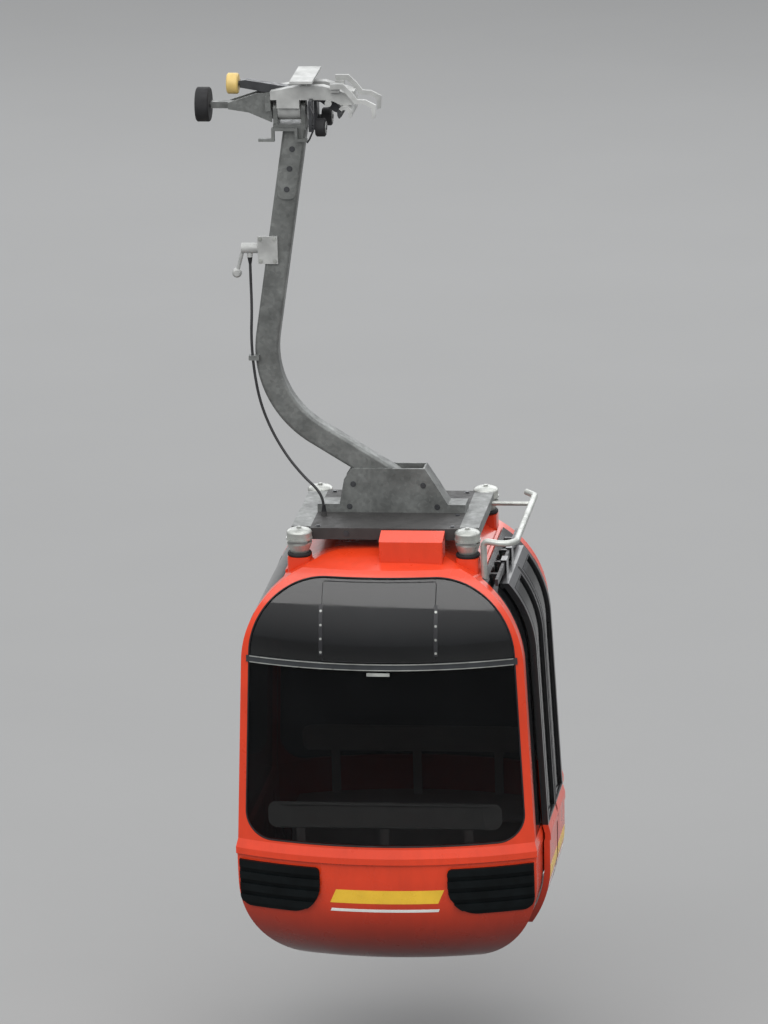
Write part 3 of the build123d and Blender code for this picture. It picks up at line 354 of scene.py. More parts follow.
for row in frame["record"]["subparts"]:
    dress(nodes[row["node"]], finishes[row["material_slot"]])
for name in ("front_door", "rear_door"):
    dress(nodes[name], door_enamel)
dress(nodes["hanger_head"], finishes["galvanised"])
dress(nodes["doorway_frame"], arched_pane)
dress(nodes["front_main_window"], viewing_pane)
for name in ("front_top_window", "rear_top_window", "front_vent_flap", "rear_vent_flap"):
    dress(nodes[name], arched_pane)

# %% [markdown]
# ## Helpers for added pieces
# Small pieces are built straight in place, in metres, so that their objects stay at the origin.
# One function keeps a mesh as a named piece: it gives it the finish of one of the record's slots
# and the body it moves with.

# %% Keep a mesh as a piece
added = []


def keep(name, mesh, body, slot, material=None, smooth=40.0):
    """A finished piece from a mesh that already lies in place."""
    mesh.materials.clear()
    mesh.materials.append(material or finishes[slot])
    piece = bpy.data.objects.new(name, mesh)
    bpy.context.scene.collection.objects.link(piece)
    if smooth:
        mesh.shade_smooth()
        mesh.set_sharp_from_angle(angle=math.radians(smooth))
    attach(piece, body)
    added.append(piece)
    return piece


def mesh_of(name, form):
    """A mesh from a bmesh, with its faces turned outwards."""
    bmesh.ops.remove_doubles(form, verts=form.verts, dist=0.00001)
    bmesh.ops.recalc_face_normals(form, faces=form.faces)
    mesh = bpy.data.meshes.new(name)
    form.to_mesh(mesh)
    form.free()
    return mesh


def keep_form(name, form, body, slot, material=None, smooth=40.0):
    """A piece from a bmesh."""
    return keep(name, mesh_of(name, form), body, slot, material, smooth)


def add_turned(form, line, center, axis=(0, 0, 1), segments=32):
    """A turned shape: a line of (radius, height) revolved about an axis through a centre."""
    turn = Vector((0, 0, 1)).rotation_difference(Vector(axis)).to_matrix()
    closed = line[0] == line[-1]
    rings = []
    for radius, height in line[:-1] if closed else line:
        ring = []
        for i in range(segments if radius else 1):
            a = 2 * math.pi * i / segments
            point = Vector((radius * math.cos(a), radius * math.sin(a), height))
            ring.append(form.verts.new(Vector(center) + turn @ point))
        rings.append(ring)
    for low, high in zip(rings, rings[1:] + (rings[:1] if closed else [])):
        for i in range(segments):
            j = (i + 1) % segments
            around = (low[i % len(low)], low[j % len(low)], high[j % len(high)], high[i % len(high)])
            form.faces.new(list(dict.fromkeys(around)))


print("helpers ready")

# %% [markdown]
# ## The door cable
# A black cable carries the lever's pull from the hanger down to the doors' gear. It hangs down
# beside the tube and goes into a gland on the deck plate. A NURBS curve through a few listed
# points gives one smooth line, as a stiff cable has.

# %% The door cable and its two boots
CABLE_D = 0.014
CABLE_ROUTE = (
    (-0.505, -0.034, -0.745), (-0.505, -0.034, -0.855), (-0.502, -0.044, -1.005), (-0.509, -0.058, -1.165),
    (-0.499, -0.062, -1.325), (-0.474, -0.060, -1.485), (-0.420, -0.068, -1.628), (-0.345, -0.084, -1.755),
    (-0.262, -0.104, -1.852), (-0.188, -0.124, -1.915), (-0.160, -0.130, -1.974), (-0.160, -0.130, -2.026),
)
BOOT_LENGTH, BOOT_R, BOOT_LIP = 0.034, 0.0125, 0.006
BOOT_FOLDS, FOLD_FIRST, FOLD_PITCH, FOLD_TAPER = 5, 0.008, 0.005, 0.0008
FOLD_H, GROOVE_H, GROOVE_DEPTH, BOOT_FIT = 0.0028, 0.0006, 0.0012, 0.0006


def add_cable():
    """The cable as one bevelled NURBS curve."""
    curve = bpy.data.curves.new("door_cable_jacket", "CURVE")
    curve.dimensions = "3D"
    curve.bevel_depth = CABLE_D / 2
    curve.bevel_resolution = 4
    curve.use_fill_caps = True
    curve.resolution_u = 10
    spline = curve.splines.new("NURBS")
    spline.points.add(len(CABLE_ROUTE) - 1)
    for point, place in zip(spline.points, CABLE_ROUTE):
        point.co = (*place, 1.0)
    spline.order_u = 3
    spline.use_endpoint_u = True
    cable = bpy.data.objects.new("door_cable_jacket", curve)
    bpy.context.scene.collection.objects.link(cable)
    curve.materials.append(finishes["cable"])
    return cable


def add_boots():
    """A tapered rubber boot at each end of the cable."""
    form = bmesh.new()
    for end, way in ((CABLE_ROUTE[0], -1.0), (CABLE_ROUTE[-1], 1.0)):
        line = [(0.0, 0.0), (BOOT_R, 0.0), (BOOT_R, BOOT_LIP)]
        for i in range(BOOT_FOLDS):
            drop = FOLD_FIRST + i * FOLD_PITCH
            radius = BOOT_R - (i + 1) * FOLD_TAPER
            line += [(radius, drop), (radius, drop + FOLD_H)]
            line.append((radius - GROOVE_DEPTH, drop + FOLD_H + GROOVE_H))
        line += [(CABLE_D / 2 + BOOT_FIT, BOOT_LENGTH), (0.0, BOOT_LENGTH)]
        add_turned(form, line, end, (0, 0, way), 24)
    return keep_form("cable_boots", form, "carrier", "black_rubber")


cable = add_cable()
boots = add_boots()
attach(cable, "carrier")
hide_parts("door_cable")
print("cable points:", len(CABLE_ROUTE))

# %% [markdown]
# ## The bowed end walls as a formula
# Gaskets, strips and screws on the cabin's ends have to follow glass that bows in plan and
# arches at the top. Both ends are turned about an upright axis, so one short formula gives the
# wall at any width and height, and everything that lies on the wall uses it.

# %% The end wall
CABIN_X = 0.170
END_AXIS = 1.035
BAR_Z, BAR_REACH, BELT_REACH = -2.654, 0.718, 0.765
ARCH = ((0.548, -2.208), (0.668, -2.390), (BAR_REACH, BAR_Z))


def circle_through(a, b, c):
    """Centre and radius of the circle through three points."""
    rows = []
    for x, z in (b, c):
        rows.append((2 * (x - a[0]), 2 * (z - a[1]), x ** 2 + z ** 2 - a[0] ** 2 - a[1] ** 2))
    (p, q, r), (s, t, u) = rows
    det = p * t - q * s
    center = ((r * t - q * u) / det, (p * u - r * s) / det)
    return center, math.dist(center, a)


ARCH_CENTER, ARCH_R = circle_through(*ARCH)


def end_reach(z):
    """How far an end wall stands from mid-cabin, in the middle of its width."""
    if z > BAR_Z:
        return ARCH_CENTER[0] + math.sqrt(ARCH_R ** 2 - (z - ARCH_CENTER[1]) ** 2)
    return BAR_REACH + (BELT_REACH - BAR_REACH) * (BAR_Z - z) / (BAR_Z - BELT_Z)


def on_end(x, z, side, proud=0.0):
    """A point on an end wall, x from the cabin's middle; side is -1 at the front."""
    r = end_reach(z) + END_AXIS + proud
    return Vector((CABIN_X + x, side * (math.sqrt(r * r - x * x) - END_AXIS), z))


ENDS = (("front", -1), ("rear", 1))
print("arch radius:", round(ARCH_R, 3))

# %% [markdown]
# ## Geometry Nodes that follow a line
# Rubber gaskets and weld beads are things that repeat or run along a path, which is what
# Geometry Nodes are for. The first tree sweeps a round bead along an edge line; the second lays
# small blobs along it. Both end in plain geometry, because instances don't survive an export.

# %% Node trees for beads
BEAD_SIDES, BLOB_SIDES, BLOB_RINGS = 10, 8, 6
BLOB_SMALL, BLOB_BIG, BLOB_SEED = (0.8, 0.8, 0.8), (1.15, 1.15, 1.15), 7


def new_tree(name, inputs):
    """An empty Geometry Nodes tree with named inputs."""
    tree = bpy.data.node_groups.new(name, "GeometryNodeTree")
    tree.interface.new_socket("Geometry", in_out="INPUT", socket_type="NodeSocketGeometry")
    for label, kind in inputs:
        tree.interface.new_socket(label, in_out="INPUT", socket_type=kind)
    tree.interface.new_socket("Geometry", in_out="OUTPUT", socket_type="NodeSocketGeometry")
    return tree, tree.nodes.new("NodeGroupInput"), tree.nodes.new("NodeGroupOutput")


def chain(tree, *steps):
    """Links node outputs to inputs: each step is (node, output, node, input)."""
    for source, output, target, entry in steps:
        tree.links.new(source.outputs[output], target.inputs[entry])


def close_tree(tree, start, source, end):
    """The end of every tree: instances made real, then the finish set."""
    real = tree.nodes.new("GeometryNodeRealizeInstances")
    paint = tree.nodes.new("GeometryNodeSetMaterial")
    chain(
        tree, (source, 0, real, "Geometry"), (real, "Geometry", paint, "Geometry"),
        (start, "Finish", paint, "Material"), (paint, "Geometry", end, "Geometry"),
    )
    return tree


def bead_tree():
    """A round bead swept along the input's edges."""
    tree, start, end = new_tree(
        "round_bead", (("Radius", "NodeSocketFloat"), ("Finish", "NodeSocketMaterial"))
    )
    path = tree.nodes.new("GeometryNodeMeshToCurve")
    ring = tree.nodes.new("GeometryNodeCurvePrimitiveCircle")
    ring.inputs["Resolution"].default_value = BEAD_SIDES
    sweep = tree.nodes.new("GeometryNodeCurveToMesh")
    sweep.inputs["Fill Caps"].default_value = True
    chain(
        tree, (start, "Geometry", path, "Mesh"), (start, "Radius", ring, "Radius"),
        (path, "Curve", sweep, "Curve"), (ring, "Curve", sweep, "Profile Curve"),
    )
    return close_tree(tree, start, sweep, end)


def blob_tree():
    """Flattened blobs laid along the input's edges, as a welder's passes lie."""
    tree, start, end = new_tree(
        "weld_blobs",
        (("Pitch", "NodeSocketFloat"), ("Radius", "NodeSocketFloat"), ("Finish", "NodeSocketMaterial")),
    )
    path = tree.nodes.new("GeometryNodeMeshToCurve")
    spaced = tree.nodes.new("GeometryNodeResampleCurve")
    spaced.mode = "LENGTH"
    blob = tree.nodes.new("GeometryNodeMeshUVSphere")
    blob.inputs["Segments"].default_value = BLOB_SIDES
    blob.inputs["Rings"].default_value = BLOB_RINGS
    lay = tree.nodes.new("GeometryNodeInstanceOnPoints")
    vary = tree.nodes.new("FunctionNodeRandomValue")
    vary.data_type = "FLOAT_VECTOR"
    for socket in vary.inputs:
        if socket.name == "Min" and socket.type == "VECTOR":
            socket.default_value = BLOB_SMALL
        if socket.name == "Max" and socket.type == "VECTOR":
            socket.default_value = BLOB_BIG
        if socket.name == "Seed":
            socket.default_value = BLOB_SEED
    chain(
        tree, (start, "Geometry", path, "Mesh"), (path, "Curve", spaced, "Curve"),
        (start, "Pitch", spaced, "Length"), (start, "Radius", blob, "Radius"),
        (spaced, "Curve", lay, "Points"), (blob, "Mesh", lay, "Instance"),
        (vary, "Value", lay, "Scale"),
    )
    return close_tree(tree, start, lay, end)


def grow(name, seed_mesh, tree, values, body, slot, smooth=40.0):
    """Runs a node tree on a seed mesh and keeps the plain result as a piece."""
    seed = bpy.data.objects.new(name + "_seed", seed_mesh)
    bpy.context.scene.collection.objects.link(seed)
    modifier = seed.modifiers.new("grow", "NODES")
    modifier.node_group = tree
    for item in tree.interface.items_tree:
        if item.in_out == "INPUT" and item.name in values:
            modifier[item.identifier] = values[item.name]
        if item.in_out == "INPUT" and item.name == "Finish":
            modifier[item.identifier] = finishes[slot]
    bpy.context.view_layer.update()
    ready = seed.evaluated_get(bpy.context.evaluated_depsgraph_get())
    mesh = bpy.data.meshes.new_from_object(ready)
    mesh.name = name
    seed.modifiers.remove(modifier)
    bpy.data.objects.remove(seed)
    return keep(name, mesh, body, slot, smooth=smooth)


def lines_mesh(name, lines):
    """A mesh of edges only; each line is (points, closed)."""
    verts, edges = [], []
    for points, closed in lines:
        first = len(verts)
        verts += [tuple(p) for p in points]
        edges += [(first + i, first + i + 1) for i in range(len(points) - 1)]
        if closed:
            edges.append((len(verts) - 1, first))
    mesh = bpy.data.meshes.new(name)
    mesh.from_pydata(verts, edges, [])
    return mesh


bead = bead_tree()
blobs = blob_tree()


def sweep_bead(name, lines, radius, body, slot):
    """A round bead along lines, kept as a piece."""
    grow(name, lines_mesh(name, lines), bead, {"Radius": radius}, body, slot)


print("trees:", bead.name, blobs.name)

# %% [markdown]
# ## Gaskets round the end windows
# A black rubber gasket holds each end window in its red frame. Its line is a trapezium with wide
# arcs above and small ones below. Drawing it as corner points with radii keeps the list short,
# and laying it on the end wall's formula makes it bow with the glass.

# %% Window outline
EAVES_X, EAVES_Z, BELT_X = 0.685, -2.200, 0.744
RIM_FACE = 0.042
WINDOW_TOP_Z, WINDOW_TOP_R = -2.240, 0.400
WINDOW_LOW_Z, WINDOW_LOW_R = BELT_Z + 0.014, 0.130
GASKET_R, GASKET_SINK = 0.0045, 0.0025
ARC_STEP, RUN_STEP = 0.03, 0.05


def half_width(z):
    """Half the cabin's width at a height above the belt, by its straight side lines."""
    return EAVES_X + (BELT_X - EAVES_X) * (EAVES_Z - z) / (EAVES_Z - BELT_Z)


def rounded(corners):
    """Points round a closed outline; each corner is (x, z, radius)."""
    points = []
    for i, (x, z, r) in enumerate(corners):
        here = Vector((x, z))
        before = (Vector(corners[i - 1][:2]) - here).normalized()
        after = (Vector(corners[(i + 1) % len(corners)][:2]) - here).normalized()
        half = before.angle(after) / 2
        center = here + (before + after).normalized() * (r / math.sin(half))
        start = here + before * (r / math.tan(half)) - center
        finish = here + after * (r / math.tan(half)) - center
        turn = math.pi - 2 * half
        sign = 1.0 if start.x * finish.y > start.y * finish.x else -1.0
        count = max(2, round(r * turn / ARC_STEP) * 2)
        for k in range(count + 1):
            a = math.atan2(start.y, start.x) + sign * turn * k / count
            points.append((center.x + r * math.cos(a), center.y + r * math.sin(a)))
    return points


def evenly(points, step=RUN_STEP):
    """The same closed line with points added so that no run is longer than step."""
    out = []
    for a, b in zip(points, points[1:] + points[:1]):
        count = max(1, math.ceil(math.dist(a, b) / step))
        out += [tuple(p + (q - p) * k / count for p, q in zip(a, b)) for k in range(count)]
    return out


def window_line():
    """The end window's outline in x and z."""
    top_x, low_x = half_width(WINDOW_TOP_Z) - RIM_FACE, half_width(WINDOW_LOW_Z) - RIM_FACE
    corners = [
        (-top_x, WINDOW_TOP_Z, WINDOW_TOP_R), (top_x, WINDOW_TOP_Z, WINDOW_TOP_R),
        (low_x, WINDOW_LOW_Z, WINDOW_LOW_R), (-low_x, WINDOW_LOW_Z, WINDOW_LOW_R),
    ]
    return evenly(rounded(corners))


print("window line:", len(window_line()), "points")

# %% Window gaskets
gasket_lines = []
for _, side in ENDS:
    gasket_lines.append(([on_end(x, z, side, -GASKET_SINK) for x, z in window_line()], True))
sweep_bead("window_gaskets", gasket_lines, GASKET_R, "carrier", "black_rubber")
print("gasket points:", len(gasket_lines[0][0]))

# %% [markdown]
# ## Bolts by one node tree
# Screws and nuts are the pieces that repeat most. Each is a hexagon head on a washer, so one
# tree builds a head from three sizes and sets it on every point of a small mesh. A stored
# direction on each point turns the head to face away from the metal.

# %% Node tree for bolt heads
HEAD_SIDES, WASHER_SIDES, WASHER_WIDTH, WASHER_HEIGHT = 6, 16, 1.45, 0.5


def bolt_tree():
    """A hexagon head on a washer at every point, turned to the stored direction."""
    tree, start, end = new_tree(
        "bolt_heads",
        (("Radius", "NodeSocketFloat"), ("Height", "NodeSocketFloat"), ("Washer", "NodeSocketFloat"),
         ("Finish", "NodeSocketMaterial")),
    )
    head = tree.nodes.new("GeometryNodeMeshCylinder")
    head.inputs["Vertices"].default_value = HEAD_SIDES
    washer = tree.nodes.new("GeometryNodeMeshCylinder")
    washer.inputs["Vertices"].default_value = WASHER_SIDES
    wide = tree.nodes.new("ShaderNodeMath")
    wide.operation = "MULTIPLY"
    wide.inputs[1].default_value = WASHER_WIDTH
    both = tree.nodes.new("GeometryNodeJoinGeometry")
    facing = tree.nodes.new("GeometryNodeInputNamedAttribute")
    facing.data_type = "FLOAT_VECTOR"
    facing.inputs["Name"].default_value = "facing"
    align = tree.nodes.new("FunctionNodeAlignRotationToVector")
    align.axis = "Z"
    lay = tree.nodes.new("GeometryNodeInstanceOnPoints")
    chain(
        tree, (start, "Radius", head, "Radius"), (start, "Height", head, "Depth"),
        (start, "Radius", wide, 0), (wide, "Value", washer, "Radius"), (start, "Washer", washer, "Depth"),
        (head, "Mesh", both, "Geometry"), (washer, "Mesh", both, "Geometry"),
        (start, "Geometry", lay, "Points"), (both, "Geometry", lay, "Instance"),
        (facing, "Attribute", align, "Vector"), (align, "Rotation", lay, "Rotation"),
    )
    return close_tree(tree, start, lay, end)


heads = bolt_tree()


def bolts(name, rows, radius, height, body, slot):
    """Bolt heads at points with directions; half of each head is sunk, so height is doubled."""
    mesh = bpy.data.meshes.new(name)
    mesh.from_pydata([tuple(point) for point, _ in rows], [], [])
    facing = mesh.attributes.new("facing", "FLOAT_VECTOR", "POINT")
    for i, (_, way) in enumerate(rows):
        facing.data[i].vector = way
    sizes = {"Radius": radius, "Height": 2 * height, "Washer": WASHER_HEIGHT * height}
    return grow(name, mesh, heads, sizes, body, slot, smooth=20.0)


print("bolt tree:", heads.name)

# %% [markdown]
# ## The vent flap's fittings
# The flap in each end window is held by a black bracket strip down each side, with four bright
# screws, and closes on a latch below the bar. The strips bow with the glass, so they are swept
# patches of the end wall and not straight bars.

# %% Flap strips, screws, latch and seal
FLAP_X, FLAP_LOW_Z, FLAP_TOP_Z, FLAP_R = 0.281, -2.628, -2.256, 0.01
FLAP_PROUD, FLAP_SEAL_DOWN, FLAP_SEAL_R = 0.008, 0.003, 0.0035
STRIP_W, STRIP_LOW_Z, STRIP_TOP_Z = 0.019, -2.600, -2.360
STRIP_T, STRIP_SINK, STRIP_LAP = 0.010, 0.006, 0.006
SCREW_Z, SCREW_R, SCREW_H = (-2.585, -2.520, -2.455, -2.390), 0.0045, 0.003
LATCH_Z, LATCH_HALF, LATCH_H, LATCH_GAP, LATCH_TOP = -2.690, 0.057, 0.008, 0.006, 0.012
LATCH_FOOT_IN, LATCH_FOOT, LATCH_FOOT_TOP, LATCH_FOOT_SINK = 0.012, 0.006, 0.007, 0.008
PROBE = 0.001


def add_slab(form, grid, outer, inner):
    """A closed slab over a grid of (point, direction): outer above it and inner below it."""
    rows, columns = len(grid), len(grid[0])
    top = [[form.verts.new(p + n * outer) for p, n in row] for row in grid]
    low = [[form.verts.new(p - n * inner) for p, n in row] for row in grid]
    for i in range(rows - 1):
        for j in range(columns - 1):
            form.faces.new((top[i][j], top[i][j + 1], top[i + 1][j + 1], top[i + 1][j]))
            form.faces.new((low[i][j], low[i + 1][j], low[i + 1][j + 1], low[i][j + 1]))
    edge = [(0, j) for j in range(columns)] + [(i, columns - 1) for i in range(1, rows)]
    edge += [(rows - 1, j) for j in range(columns - 2, -1, -1)] + [(i, 0) for i in range(rows - 2, 0, -1)]
    for (a, b), (c, d) in zip(edge, edge[1:] + edge[:1]):
        form.faces.new((top[a][b], low[a][b], low[c][d], top[c][d]))


def wall_point(x, z, side):
    """A point of an end wall and the wall's direction there."""
    here = on_end(x, z, side)
    across = on_end(x + PROBE, z, side) - here
    up = on_end(x, z + PROBE, side) - here
    way = across.cross(up).normalized()
    return here, (way if way.y * side > 0 else -way)


def wall_grid(x0, x1, z0, z1, side, columns, rows):
    """A grid of such points over a field of an end wall."""
    grid = []
    for i in range(rows):
        z = z0 + (z1 - z0) * i / (rows - 1)
        grid.append([wall_point(x0 + (x1 - x0) * j / (columns - 1), z, side) for j in range(columns)])
    return grid


strips, latches, screw_rows, seal_lines = bmesh.new(), bmesh.new(), [], []
flap = [(-FLAP_X, FLAP_LOW_Z, FLAP_R), (FLAP_X, FLAP_LOW_Z, FLAP_R), (FLAP_X, FLAP_TOP_Z, FLAP_R),
        (-FLAP_X, FLAP_TOP_Z, FLAP_R)]
for _, side in ENDS:
    for sign in (-1, 1):
        x = sign * (FLAP_X + 0.5 * STRIP_W - STRIP_LAP)
        field = wall_grid(x - STRIP_W / 2, x + STRIP_W / 2, STRIP_LOW_Z, STRIP_TOP_Z, side, 3, 12)
        add_slab(strips, field, STRIP_T, STRIP_SINK)
        for z in SCREW_Z:
            here, way = wall_point(x, z, side)
            screw_rows.append((here + way * STRIP_T, way))
    line = evenly(rounded(flap))
    seal_lines.append(([on_end(x, z, side, FLAP_PROUD - FLAP_SEAL_DOWN) for x, z in line], True))
    field = wall_grid(-LATCH_HALF, LATCH_HALF, LATCH_Z - LATCH_H, LATCH_Z + LATCH_H, side, 12, 3)
    add_slab(latches, field, LATCH_TOP, -LATCH_GAP)
    for sign in (-1, 1):
        x, h = sign * (LATCH_HALF - LATCH_FOOT_IN), LATCH_FOOT
        field = wall_grid(x - h, x + h, LATCH_Z - h, LATCH_Z + h, side, 2, 2)
        add_slab(latches, field, LATCH_FOOT_TOP, LATCH_FOOT_SINK)
keep_form("flap_strips", strips, "carrier", "black_paint")
keep_form("flap_latches", latches, "carrier", "silver")
bolts("flap_screws", screw_rows, SCREW_R, SCREW_H, "carrier", "silver")
sweep_bead("flap_seals", seal_lines, FLAP_SEAL_R, "carrier", "black_rubber")
print("flap screws:", len(screw_rows))

# %% [markdown]
# ## The bar's edges
# The grey bar across the window catches light on a bright lip along its upper and its lower edge.
# Two thin swept silver strips put that painted highlight on at any angle; paint on the bar itself would
# look flat.

# %% Strips along the bar
BAR_HALF, BAR_END_X = 0.017, 0.655
LIP_H, LIP_TOP, LIP_UNDER = 0.004, 0.0085, 0.004
# Painted highlight: silver strips along the bar's upper and lower edges.
highlight_strips = bmesh.new()
for _, side in ENDS:
    for z in (BAR_Z - BAR_HALF, BAR_Z + BAR_HALF - LIP_H):
        field = wall_grid(-BAR_END_X, BAR_END_X, z, z + LIP_H, side, 40, 2)
        add_slab(highlight_strips, field, LIP_TOP, -LIP_UNDER)
keep_form("bar_highlight_strips", highlight_strips, "carrier", "silver")
print("bar lips at", round(BAR_Z, 3))

# %% [markdown]
# ## Things laid on curved panels
# Below the belt the panels have a moulding and curve in at the foot, so a stripe that follows
# them is placed by looking for the panel: a ray from outside finds the surface, and the stripe
# lies a hair above it. The stripes are plain coach lines in yellow and white.

# %% Find a panel's surface
RAY_START, RAY_NEAR = 3.0, 2.4


def surface(*names):
    """One searchable surface from the named solids."""
    verts, faces = [], []
    for name in names:
        mesh = nodes[name].data
        first = len(verts)
        verts += [v.co.copy() for v in mesh.vertices]
        faces += [[first + i for i in face.vertices] for face in mesh.polygons]
    return BVHTree.FromPolygons(verts, faces)


def hit(tree, start, way):
    """Where a ray meets a surface, or the surface's nearest point, and its direction there."""
    place, normal, _, _ = tree.ray_cast(Vector(start), Vector(way))
    if place is None:
        place, normal, _, _ = tree.find_nearest(Vector(start) + Vector(way) * RAY_NEAR)
    return place, (normal if normal.dot(Vector(way)) < 0 else -normal)


def ray_grid(tree, u0, u1, z0, z1, face, columns, rows, slant):
    """Points on a surface seen from outside: face is (axis, sign), u runs along the other axis."""
    axis, sign = face
    grid = []
    for i in range(rows):
        z = z0 + (z1 - z0) * i / (rows - 1)
        shift = slant * (z - z0)
        row = []
        for j in range(columns):
            u = u0 + (u1 - u0) * j / (columns - 1) + shift
            start = (u, sign * RAY_START, z) if axis == "Y" else (CABIN_X + sign * RAY_START, u, z)
            way = (0, -sign, 0) if axis == "Y" else (-sign, 0, 0)
            row.append(hit(tree, start, way))
        grid.append(row)
    return grid


print("rays start", RAY_START, "m out")

# %% Coach lines
STRIPES = ((-3.870, -3.800, "yellow"), (-3.915, -3.900, "white"))  # low z, high z, colour
END_STRIPE_X, SIDE_STRIPE_Y, DOOR_STRIPE_Y = 0.270, 0.560, (0.022, 0.325)
STRIPE_PAINTS = {"yellow": ("roller_yellow", stripe_yellow), "white": ("cast_light", stripe_white)}
STRIPE_UP, STRIPE_DOWN, STRIPE_SLANT = 0.0008, 0.0015, 0.45
STRIPE_COLUMNS, STRIPE_ROWS = 24, 5
FIELDS = (
    # piece, solid, (axis, sign), from, to, body
    ("front_lines", "front_panel", ("Y", -1), CABIN_X - END_STRIPE_X, CABIN_X + END_STRIPE_X, "carrier"),
    ("rear_lines", "rear_panel", ("Y", 1), CABIN_X - END_STRIPE_X, CABIN_X + END_STRIPE_X, "carrier"),
    ("left_lines", "left_panel", ("X", -1), -SIDE_STRIPE_Y, SIDE_STRIPE_Y, "carrier"),
    ("front_door_lines", "front_door", ("X", 1), -DOOR_STRIPE_Y[1], -DOOR_STRIPE_Y[0], "front_leaf"),
    ("rear_door_lines", "rear_door", ("X", 1), *DOOR_STRIPE_Y, "rear_leaf"),
)
for name, solid, face, u0, u1, body in FIELDS:
    skin = surface(solid)
    slant = STRIPE_SLANT if "door" not in name else 0.0
    for z0, z1, tint in STRIPES:
        stripe = bmesh.new()
        field = ray_grid(skin, u0, u1, z0, z1, face, STRIPE_COLUMNS, STRIPE_ROWS, slant)
        add_slab(stripe, field, STRIPE_UP, STRIPE_DOWN)
        keep_form(f"{name}_{tint}", stripe, body, *STRIPE_PAINTS[tint])
print("coach lines:", len(FIELDS) * len(STRIPES))

# %% [markdown]
# ## Door seals
# Each sliding leaf has a rubber bulb down its closing edge and a gasket round its pane. They ride
# on the leaf, so that they leave with it when the doors open. Rays find the leaf's skin, and the
# bead tree sweeps the rubber along it.

# %% Seals on the door leaves
LEAF_TOP_Z, LEAF_LOW_Z, LEAF_POINTS = -2.345, -4.085, 60
LEAF_EDGE_Y, PANE_Y = 0.010, (0.043, 0.296)
PANE_TOP_Z, PANE_LOW_Z = -2.367, -3.573
SEAL_R, SEAL_SINK, SEAL_STEP = 0.0045, 0.0032, 0.03
for end, side in ENDS:
    skin = surface(f"{end}_door")
    edge = []
    for i in range(LEAF_POINTS):
        z = LEAF_LOW_Z + (LEAF_TOP_Z - LEAF_LOW_Z) * i / (LEAF_POINTS - 1)
        place, _ = hit(skin, (RAY_START, side * LEAF_EDGE_Y, z), (-1, 0, 0))
        edge.append(place - Vector((SEAL_SINK, 0, 0)))
    y0, y1 = side * PANE_Y[0], side * PANE_Y[1]
    frame_line = [(y0, PANE_LOW_Z), (y1, PANE_LOW_Z), (y1, PANE_TOP_Z), (y0, PANE_TOP_Z)]
    ring = []
    for y, z in evenly(frame_line, SEAL_STEP):
        place, _ = hit(skin, (RAY_START, y, z), (-1, 0, 0))
        ring.append(place - Vector((SEAL_SINK, 0, 0)))
    lines = [(edge, False), (ring, True)]
    sweep_bead(f"{end}_door_seals", lines, SEAL_R, f"{end}_leaf", "black_rubber")
print("door seals:", len(ENDS))

# %% [markdown]
# ## Seams of the side glass
# The side glass meets the end frames in rubber joints, and on the left side the roof too. A joint
# follows where the end wall's line, moved inwards, meets the cabin's side. Its points are found
# with the end formula and a ray from the side, in a few tries, because each depends on the other.

# %% Side glass joints
JOINT_IN, JOINT_R, JOINT_SINK = 0.065, 0.0045, 0.0030
JOINT_LOW_Z, JOINT_RISE, JOINT_STEPS, JOINT_TRIES = -3.575, 1.13, 40, 3
ROOF_JOINT_X, ROOF_JOINT_Y, ROOF_STEPS = 0.4985, 0.470, 24


def joint_point(skin, z, end_side, way):
    """A point of the joint between side glass and end frame at one height."""
    x = half_width(z)
    for _ in range(JOINT_TRIES):
        r = end_reach(z) + END_AXIS - JOINT_IN
        y = end_side * (math.sqrt(r * r - x * x) - END_AXIS)
        place, normal = hit(skin, (CABIN_X + way * RAY_START, y, z), (-way, 0, 0))
        x = abs(place.x - CABIN_X)
    return place - normal * JOINT_SINK


joint_lines = []
for way, glass in ((-1, ("left_window",)), (1, ("right_front_window", "right_rear_window"))):
    skin = surface(*glass, "front_end_frame", "rear_end_frame")
    for _, side in ENDS:
        heights = [JOINT_LOW_Z + JOINT_RISE * i / JOINT_STEPS for i in range(JOINT_STEPS + 1)]
        joint_lines.append(([joint_point(skin, z, side, way) for z in heights], False))
left_top = surface("left_window")
line = []
for i in range(ROOF_STEPS + 1):
    y = -ROOF_JOINT_Y + 2 * ROOF_JOINT_Y * i / ROOF_STEPS
    place, normal = hit(left_top, (CABIN_X - ROOF_JOINT_X, y, 0), (0, 0, -1))
    line.append(place - normal * JOINT_SINK)
joint_lines.append((line, False))
sweep_bead("glass_joints", joint_lines, JOINT_R, "carrier", "black_rubber")
print("joints:", len(joint_lines))

# %% [markdown]
# ## Dampers
# The frame rests on the roof through four rubber-sprung dampers. Each stands in a black rubber
# ring and ends in a domed cap with a nut. Rings and domes are turned shapes: one small profile
# revolved.

